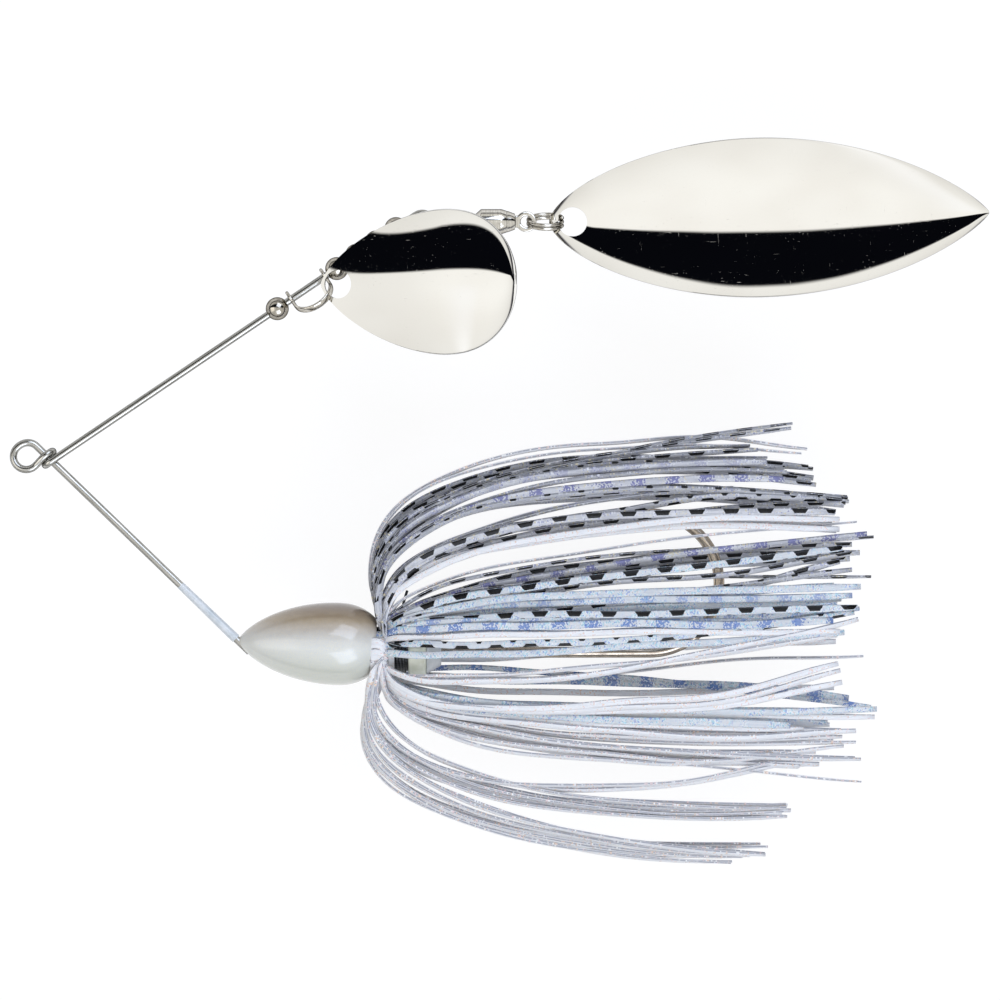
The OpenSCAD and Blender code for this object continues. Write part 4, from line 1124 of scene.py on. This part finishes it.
# %% Locks of the skirt
# Each row: height at mid run, reach, tip height, sag of the aft half; strands,
# their spread; depth, roll (0 flat, 1 on edge), start angle round the shank;
# printed bar (share of the width, from the upper edge, or the lower if negative)
# and strength of the dense flake.
MID_RUN = 27.0
BARRED_LOCKS = [
    (23.9, 51.4, 28.1, 0.0, 2, 0.3, 1.8, 0.80, 15, 0.2, 0),
    (24.1, 45.2, 25.5, 0, 1, 0, 2.2, 0.8, 10, 0.3, 0),
    (23.8, 45.6, 25.3, 0, 1, 0, 2.6, 0.7, 20, 0, 0),
    (23.5, 47.0, 24.8, 0, 1, 0, 3.0, 0.6, 30, 0.45, 0),
    (23.2, 48.0, 24.2, 0, 1, 0, 2.4, 0.8, 12, 0, 0),
    (22.9, 49.8, 22.9, 0, 1, 0, 3.2, 0.5, 40, -0.3, 0),
    (22.6, 47.5, 23.6, 0, 1, 0, 3.6, 0.4, 25, 0, 0.3),
    (22.4, 49.0, 22.6, 0, 1, 0, 2.8, 0.8, 50, -0.5, 0),
    (22.3, 53.5, 20.6, 0.4, 1, 0, 3.0, 0.7, 35, 0.4, 0),
    (21.5, 50.0, 22.2, 0.3, 1, 0, 3.4, 0.7, 45, 0, 0),
    (20.8, 49.8, 21.1, 0, 1, 0, 4.4, 0.0, 30, 0, 0.8),
    (19.9, 53.9, 19.2, 0, 1, 0, 3.8, 0.55, 48, -0.35, 0),
    (20.1, 58.3, 18.8, 0, 2, 0.4, 3.4, 0.6, 52, 0.4, 0),
    (19.7, 57.5, 19.5, 0, 1, 0, 3.0, 0.8, 20, 0.2, 0),
    (18.5, 44.0, 20.0, 0.3, 2, 0.5, 3.2, 0.85, 35, 0, 0),
    (17.2, 54.3, 18.6, 0.9, 1, 0, 4.2, 0.1, 60, -0.6, 0),
    (16.7, 56.3, 17.5, 0, 1, 0, 4.8, 0.25, 28, 0.5, 0),
    (16.0, 57.3, 18.4, 0.4, 1, 0, 3.8, 0.6, 40, 0.4, 0),
    (11.6, 60.9, 14.3, 0, 1, 0, 4.2, 0.75, 44, 0.35, 0),
    (10.5, 60.4, 14.9, 0, 1, 0, 4.6, 0.55, 38, 0, 0.8),
    (9.0, 60.4, 9.6, 0, 1, 0, 4.6, 0.9, 35, 0.5, 0),
    (8.2, 59.4, 12.5, -0.5, 1, 0, 5.0, 0.5, 30, 0.4, 0),
    (5.9, 56.7, 11.4, -0.9, 1, 0, 5.6, 0.45, 52, 0.45, 0),
    (7.0, 58.0, 10.2, -0.5, 1, 0, 5.2, 0.5, 40, -0.3, 0),
    (23.4, 54.0, 22.0, 0, 4, 1.6, -3.4, 0.4, -20, 0.3, 0),
    (19.8, 57.0, 18.0, 0, 3, 1.2, -3.9, 0.4, -38, 0.3, 0),
    (16.4, 57.0, 15.6, 0, 2, 1.0, -4.2, 0.4, -50, 0, 0.3),
    (10.2, 59.0, 12.4, 0, 3, 2.0, -4.4, 0.3, -62, 0.4, 0),
]
GLITTER_LOCKS = [
    (9.2, 56.6, 12.9, 0.1, 1, 0, 6.4, 0.0, 42, 0.62, 0),
    (7.3, 58.7, 8.5, -0.2, 1, 0, 6.6, 0.0, 45, 0, 0),
    (6.3, 58.0, 7.2, 0, 1, 0, 6.2, 0.1, 30, 0, 0.5),
    (4.7, 58.8, 5.8, 0, 1, 0, 6.8, 0.0, 38, 0.6, 0),
    (5.4, 57.0, 6.8, 0, 1, 0, 5.6, 0.3, 34, 0, 0),
    (3.5, 55.8, 4.0, -0.3, 1, 0, 6.6, 0.0, 58, 0, 0.75),
    (4.1, 52.0, 3.6, 0, 1, 0, 6.2, 0.2, 50, 0, 0.6),
    (1.6, 58.2, 5.0, -0.3, 1, 0, 6.6, 0.0, 72, -0.6, 0),
    (0.5, 57.0, 2.6, 0, 1, 0, 6.6, 0.0, 84, 0, 0),
    (2.6, 58.8, 5.4, -0.2, 1, 0, 5.6, 0.5, 55, 0, 0.5),
    (-2.8, 60.6, -7.0, 0, 1, 0, -1.6, 0.5, -130, 0, 0.8),
    (-3.6, 58.0, -5.7, 0.3, 1, 0, -2.4, 0.1, -140, 0, 0.7),
    (-8.2, 50.6, -8.7, 0, 1, 0, 5.4, 0.1, 140, 0, 0),
    (-6.9, 60.8, -7.0, -0.2, 1, 0, 4.8, 0.1, 146, 0, 0),
    (5.0, 57.0, 6.4, 0, 4, 3.4, -4.4, 0.2, -80, 0, 0.4),
    (-7.6, 56.0, -8.2, 0, 3, 1.6, -4.4, 0.2, -130, 0, 0.2),
]
CLEAR_LOCKS = [
    (25.7, 52.5, 25.2, 0.8, 1, 0, 1.0, 0.85, 5, 0, 0),
    (25.2, 52.1, 24.6, 0.5, 1, 0, 1.4, 0.9, -5, 0, 0),
    (15.1, 56.6, 16.7, 0.3, 1, 0, 5.2, 0.0, 32, 0, 0),
    (14.8, 57.0, 15.2, 0.4, 1, 0, 4.4, 0.2, 26, 0, 0),
    (12.8, 58.9, 16.0, 0, 1, 0, 3.6, 0.85, 30, 0, 0),
    (2.4, 56.4, 2.7, 0, 1, 0, 6.4, 0.1, 58, 0, 0),
    (-0.2, 56.3, 1.5, 0.3, 1, 0, -2.0, 0.3, -100, 0, 0),
    (-2.9, 59.8, -0.6, 0.9, 1, 0, -1.4, 0.85, -120, 0, 0),
    (-2.6, 58.8, 4.2, 0.4, 1, 0, 6.8, 0.35, 122, 0, 0),
    (-1.8, 56.3, 2.4, 0, 1, 0, 6.2, 0.7, 116, 0, 0),
    (-6.4, 56.3, -1.1, -1.1, 1, 0, 6.4, 0.2, 132, 0, 0),
    (-6.9, 56.6, -2.1, -1.0, 1, 0, 6.0, 0.3, 138, 0, 0),
    (-7.2, 57.0, -3.2, -0.8, 1, 0, 5.6, 0.3, 126, 0, 0),
    (-5.0, 56.0, -4.6, 0, 1, 0, -3.2, 0.0, -150, 0, 0),
    (-7.5, 60.9, -7.9, 0.2, 1, 0, 4.4, 0.15, 150, 0, 0),
    (-8.8, 52.0, -9.3, 0, 1, 0, 4.8, 0.2, 142, 0, 0),
    (-9.5, 59.0, -9.4, -0.8, 1, 0, 4.6, 0.3, 148, 0, 0),
    (-9.1, 49.8, -10.2, 0, 1, 0, 4.2, 0.5, 152, 0, 0),
    (-10.1, 57.0, -10.4, -0.4, 1, 0, 3.8, 0.6, 144, 0, 0),
    (-10.5, 58.9, -11.0, -0.3, 1, 0, 3.4, 0.7, 156, 0, 0),
    (-11.4, 59.4, -12.9, 0, 2, 0.4, 3.6, 0.6, 150, 0, 0),
    (-12.4, 56.8, -11.4, -0.8, 1, 0, 3.8, 0.7, 112, 0, 0),
    (-13.2, 48.2, -12.3, -0.5, 1, 0, 3.2, 0.7, 100, 0, 0),
    (-11.9, 52.5, -13.8, 0, 2, 0.4, 3.0, 0.6, 160, 0, 0),
    (-12.8, 59.2, -16.0, 0.5, 1, 0, 2.8, 0.85, 154, 0, 0),
    (-16.8, 48.9, -13.8, -0.3, 2, 0.4, 2.8, 0.6, 98, 0, 0),
    (-18.0, 51.0, -18.9, 0, 2, 0.3, 2.6, 0.7, 84, 0, 0),
    (-19.0, 50.2, -19.6, 0, 2, 0.3, 2.2, 0.8, 106, 0, 0),
    (-19.9, 50.5, -20.2, 0, 2, 0.3, 1.8, 0.75, 122, 0, 0),
    (-22.7, 48.5, -24.6, 0, 2, 0.3, 2.0, 0.7, 92, 0, 0),
    (-23.3, 46.0, -24.9, 0, 2, 0.3, 1.6, 0.8, 112, 0, 0),
    (-24.0, 45.3, -25.3, 0, 2, 0.3, 1.2, 0.8, 130, 0, 0),
    (-24.7, 44.1, -25.9, 0, 2, 0.3, 0.6, 0.8, 146, 0, 0),
    (15.2, 55.0, 16.0, 0, 2, 0.8, -4.2, 0.4, -45, 0, 0),
    (-9.0, 57.0, -10.0, 0, 4, 1.8, -4.4, 0.4, -140, 0, 0),
    (-12.4, 55.0, -13.2, 0, 3, 1.4, -4.2, 0.5, -152, 0, 0),
    (-19.0, 51.0, -19.4, 0, 3, 1.2, -3.6, 0.6, -165, 0, 0),
    (-23.4, 48.0, -24.4, 0, 3, 1.0, -2.6, 0.7, -172, 0, 0),
]


# How far a strand may go, in the skirt's own frame, so that the fan keeps to the
# measured one: its lowest and highest tip, its reach, and its depth to the back
# at any point, at mid run and at the tip.
TIP_LOWEST, TIP_HIGHEST, FURTHEST = -25.9, 28.3, 61.2
BACK, BACK_MID, BACK_TIP = -4.6, -4.5, -4.3
STRAND_WIDE, STRAND_THICK = 0.96, 0.34
TIP_FAN = 1.4     # a lock's tips spread this much wider than its middle
TIP_TRIM = 2.4    # and its outer strands end up to half this much sooner


def lay_strands(name, locks, material, slot, *nodes, widest=1.0):
    """Turn a table of locks into one piece: every row is repeated for its
    strands, each strand gets its own place in the spread, and all are laid and
    swept together. The rise that carries each one through its height at mid run
    is found by laying the path, reading the miss, and adding it, three times."""
    table = np.array(locks, float)
    count = table[:, 4].astype(int)
    (middle, reach, tip, sag, _, spread, depth, edge, start, ink,
     dye) = np.repeat(table, count, 0).T
    n = len(middle)
    order = np.arange(n) - np.repeat(np.cumsum(count) - count, count)
    place = (order + 0.5) / np.repeat(count, count) - 0.5
    wobble = np.clip(rng.normal(size=(n, 6)), -1.8, 1.8)
    tip = np.clip(tip + TIP_FAN * spread * place + 0.1 * wobble[:, 0],
                  TIP_LOWEST, TIP_HIGHEST)
    middle = middle + spread * place
    reach = np.minimum(reach - np.abs(place) * TIP_TRIM + 0.25 * wobble[:, 2],
                       FURTHEST)
    depth = np.maximum(depth + 0.3 * wobble[:, 3], BACK_MID)
    start = np.radians(start + 6 * wobble[:, 4])
    tip_depth = np.maximum(depth * 0.8, BACK_TIP)
    rise = middle.copy()
    for _ in range(3):
        paths = strand_paths(rise, depth, reach, tip, tip_depth, start)
        near = np.abs(paths[..., 0] - MID_RUN).argmin(1)
        rise = rise + (middle - paths[np.arange(n), near, 1])
    paths = strand_paths(rise, depth, reach, tip, tip_depth, start)
    t = np.linspace(0, 1, paths.shape[1])[None]
    past = np.clip((paths[..., 0] - MID_RUN) / (reach[:, None] - MID_RUN), 0, 1)
    wave = (0.14 * np.sin(t * 9 + wobble[:, 5:] * 3) * ease(t * 3)
            + 0.1 * np.sin(t * 23 + wobble[:, 1:2] * 5) * ease(t * 3))
    paths[..., 1] += wave + sag[:, None] * np.sin(np.pi * past) ** 2
    paths[..., 2] = np.maximum(paths[..., 2] + 0.7 * wave, BACK)
    roll = edge * np.pi / 2 + np.where(ink < 0, np.pi, 0.0)
    width = widest * (STRAND_WIDE + 0.05 * wobble[:, 1])
    grids = ribbons(paths, start, width, STRAND_THICK + 0 * width,
                    roll + 0.16 * wobble[:, 3], roll + 0.16 * wobble[:, 0])
    grids = grids + SKIRT_AT
    piece = surface(name, list(grids),
                    marks={"tone": rng.random(n), "ink": np.abs(ink), "dye": dye})
    low, high = grids.min((0, 1, 2)), grids.max((0, 1, 2))
    print(f"{name}: {n} strands, from {low.round(1)} to {high.round(1)} mm")
    return hand_over(piece, "frame", slot, material, *nodes)

# %% [markdown]
# One printed sheet gives one sort of strand. The barred sort is smoky grey with
# black bars 4.2 mm apart: a bar on one edge and a small wedge half a step on from
# it at the other, because the print is a row of diamonds that the cut goes
# through. The glitter sort is pale with blue and cyan flake in patches at the
# same step. The clear sort has fine pearl flake. Each pattern reads the ribbon's
# own UV: U runs round the section, and V is millimetres from the root.

# %% Silicone of the skirt
BAR_PITCH = 4.22


def ribbon_space(tree):
    """Across the face from 0 to 1 on both faces, along in millimetres, and the
    strand's own three marks. Each strand's tone shifts the pattern along it."""
    uv = node(tree, "ShaderNodeSeparateXYZ",
              {0: node(tree, "ShaderNodeTexCoord").outputs["UV"]})
    tone, ink, dye = (node(tree, "ShaderNodeAttribute", attribute_name=key)
                      .outputs["Fac"] for key in ("tone", "ink", "dye"))
    turn = maths(tree, "COSINE", maths(tree, "MULTIPLY", uv.outputs["X"], 2 * math.pi))
    across = maths(tree, "MULTIPLY_ADD", turn, 0.5, 0.5)
    along = maths(tree, "MULTIPLY_ADD", tone, 37.0, uv.outputs["Y"])
    return across, along, tone, ink, dye


def lane(tree, along, across, tone, per_mm, per_width):
    """A point for a pattern: cycles along, cycles across, and a strand's own
    slice of the pattern."""
    return node(tree, "ShaderNodeCombineXYZ",
                {0: maths(tree, "MULTIPLY", along, per_mm),
                 1: maths(tree, "MULTIPLY", across, per_width),
                 2: maths(tree, "MULTIPLY", tone, 50.0)}).outputs[0]


def silicone(name, body, rim, flake, dense, through):
    """Cast silicone. body is its two shades, drawn into streaks; rim is the painted
    shade laid on its edges, for the light lost sideways there. flake is (share,
    ramp stops) of cells 0.17 mm across; dense is the colour of the flake that comes
    back at every bar's step; through is how much light passes. The bars are a row
    of black diamonds that the cut goes through: half a diamond on one edge, the
    next one's point on the other."""
    made, tree, skin = shader(name)
    across, along, tone, ink, dye = ribbon_space(tree)
    streak = noise(tree, lane(tree, along, across, tone, 0.22, 5.0), 1.0, 3.0, 0.6)
    base = ramp(tree, streak, [(0.32, body[0]), (0.68, body[1])])
    # Painted shade: the rim colour is laid along both edges of each ribbon, for the
    # light a clear strand loses sideways there.
    edge = remap(tree, maths(tree, "ABSOLUTE",
                             maths(tree, "MULTIPLY_ADD", across, 2.0, -1.0)),
                 0.86, 0.99, 0.0, 0.9)
    base = mix(tree, edge, base, linear(rim))
    cell = node(tree, "ShaderNodeTexVoronoi",
                {"Vector": lane(tree, along, across, tone, 5.9, 5.9), "Scale": 1.0})
    pick = node(tree, "ShaderNodeSeparateColor", {0: cell.outputs["Color"]}).outputs
    cloud = noise(tree, lane(tree, along, across, tone, 0.5, 0.6), 1.0, 2.0)
    loose = maths(tree, "MULTIPLY", maths(tree, "LESS_THAN", pick[0], flake[0]),
                  remap(tree, cloud, 0.36, 0.56, 0.1, 1.0))
    base = mix(tree, loose, base, ramp(tree, pick[1], flake[1], "CONSTANT"))
    step = maths(tree, "FRACT", maths(tree, "DIVIDE", along, BAR_PITCH))
    here = maths(tree, "ABSOLUTE", maths(tree, "SUBTRACT", step, 0.5))
    there = maths(tree, "SUBTRACT", 0.5, here)
    close = maths(tree, "LESS_THAN", maths(tree, "MULTIPLY_ADD", pick[2], 0.16, there),
                  0.27)
    patch = maths(tree, "MULTIPLY", maths(tree, "MULTIPLY", close, dye),
                  maths(tree, "LESS_THAN", pick[0], 0.72))
    base = mix(tree, patch, base, linear(dense))
    ragged = maths(tree, "MULTIPLY_ADD",
                   noise(tree, lane(tree, along, across, tone, 3.0, 3.0), 1, 2),
                   0.06, -0.03)
    here = maths(tree, "ADD", here, ragged)
    inward = maths(tree, "SUBTRACT", 1.0, across)
    bar = maths(tree, "MULTIPLY",
                maths(tree, "LESS_THAN", here,
                      maths(tree, "MULTIPLY_ADD", inward, -0.18, 0.25)),
                maths(tree, "LESS_THAN", inward, ink))
    point = maths(tree, "MULTIPLY",
                  maths(tree, "LESS_THAN", maths(tree, "SUBTRACT", there, ragged),
                        maths(tree, "MULTIPLY_ADD", across, -0.25, 0.1)),
                  maths(tree, "LESS_THAN", across, maths(tree, "MULTIPLY", ink, 0.35)))
    printed = maths(tree, "MULTIPLY", maths(tree, "MAXIMUM", bar, point),
                    maths(tree, "LESS_THAN", across, 0.985))
    base = mix(tree, printed, base, linear("#0b0b0d"))
    link(tree, base, skin.inputs["Base Color"])
    glint = maths(tree, "MAXIMUM", loose, patch)
    link(tree, remap(tree, glint, 0.0, 1.0, 0.34, 0.24), skin.inputs["Roughness"])
    skin.inputs["IOR"].default_value = 1.41
    skin.inputs["Specular IOR Level"].default_value = 0.3
    skin.inputs["Transmission Weight"].default_value = through
    link(tree, bump(tree, cell.outputs["Distance"], 0.06, 0.03),
         skin.inputs["Normal"])
    return made


# The third colour of each sort is the painted shade laid along its strands' edges.
barred = silicone("silicone_smoke", ("#bbbdc5", "#e4e5e9"), "#85878f",
                  (0.3, [(0.0, "#b3b6d2"), (0.3, "#f0f1f6"), (0.75, "#e9e0c4")]),
                  "#7073b0", 0.2)
glitter = silicone("silicone_blue_glitter", ("#d9dee5", "#eff1f4"), "#a0a6b0",
                   (0.55, [(0.0, "#a9bbe8"), (0.2, "#c2e9f5"), (0.5, "#f6fdff"),
                           (0.8, "#f4ece8")]),
                   "#5b84cf", 0.25)
clear = silicone("silicone_clear_pearl", ("#e8eaee", "#fbfbfc"), "#9a9ca8",
                 (0.26, [(0.0, "#fbe3cf"), (0.3, "#fae6e6"), (0.55, "#ffffff")]),
                 "#4b7fcb", 0.1)
core_metal.clear()
core_metal.append(clear)

lay_strands("skirt_barred_strands", BARRED_LOCKS, barred, "skirt_barred",
            "skirt_upper_front", "skirt_upper_back")
lay_strands("skirt_glitter_strands", GLITTER_LOCKS, glitter, "skirt_glitter",
            "skirt_side_front", "skirt_side_back")
lay_strands("skirt_clear_strands", CLEAR_LOCKS, clear, "skirt_clear",
            "skirt_lower_front", "skirt_lower_back", widest=0.86)
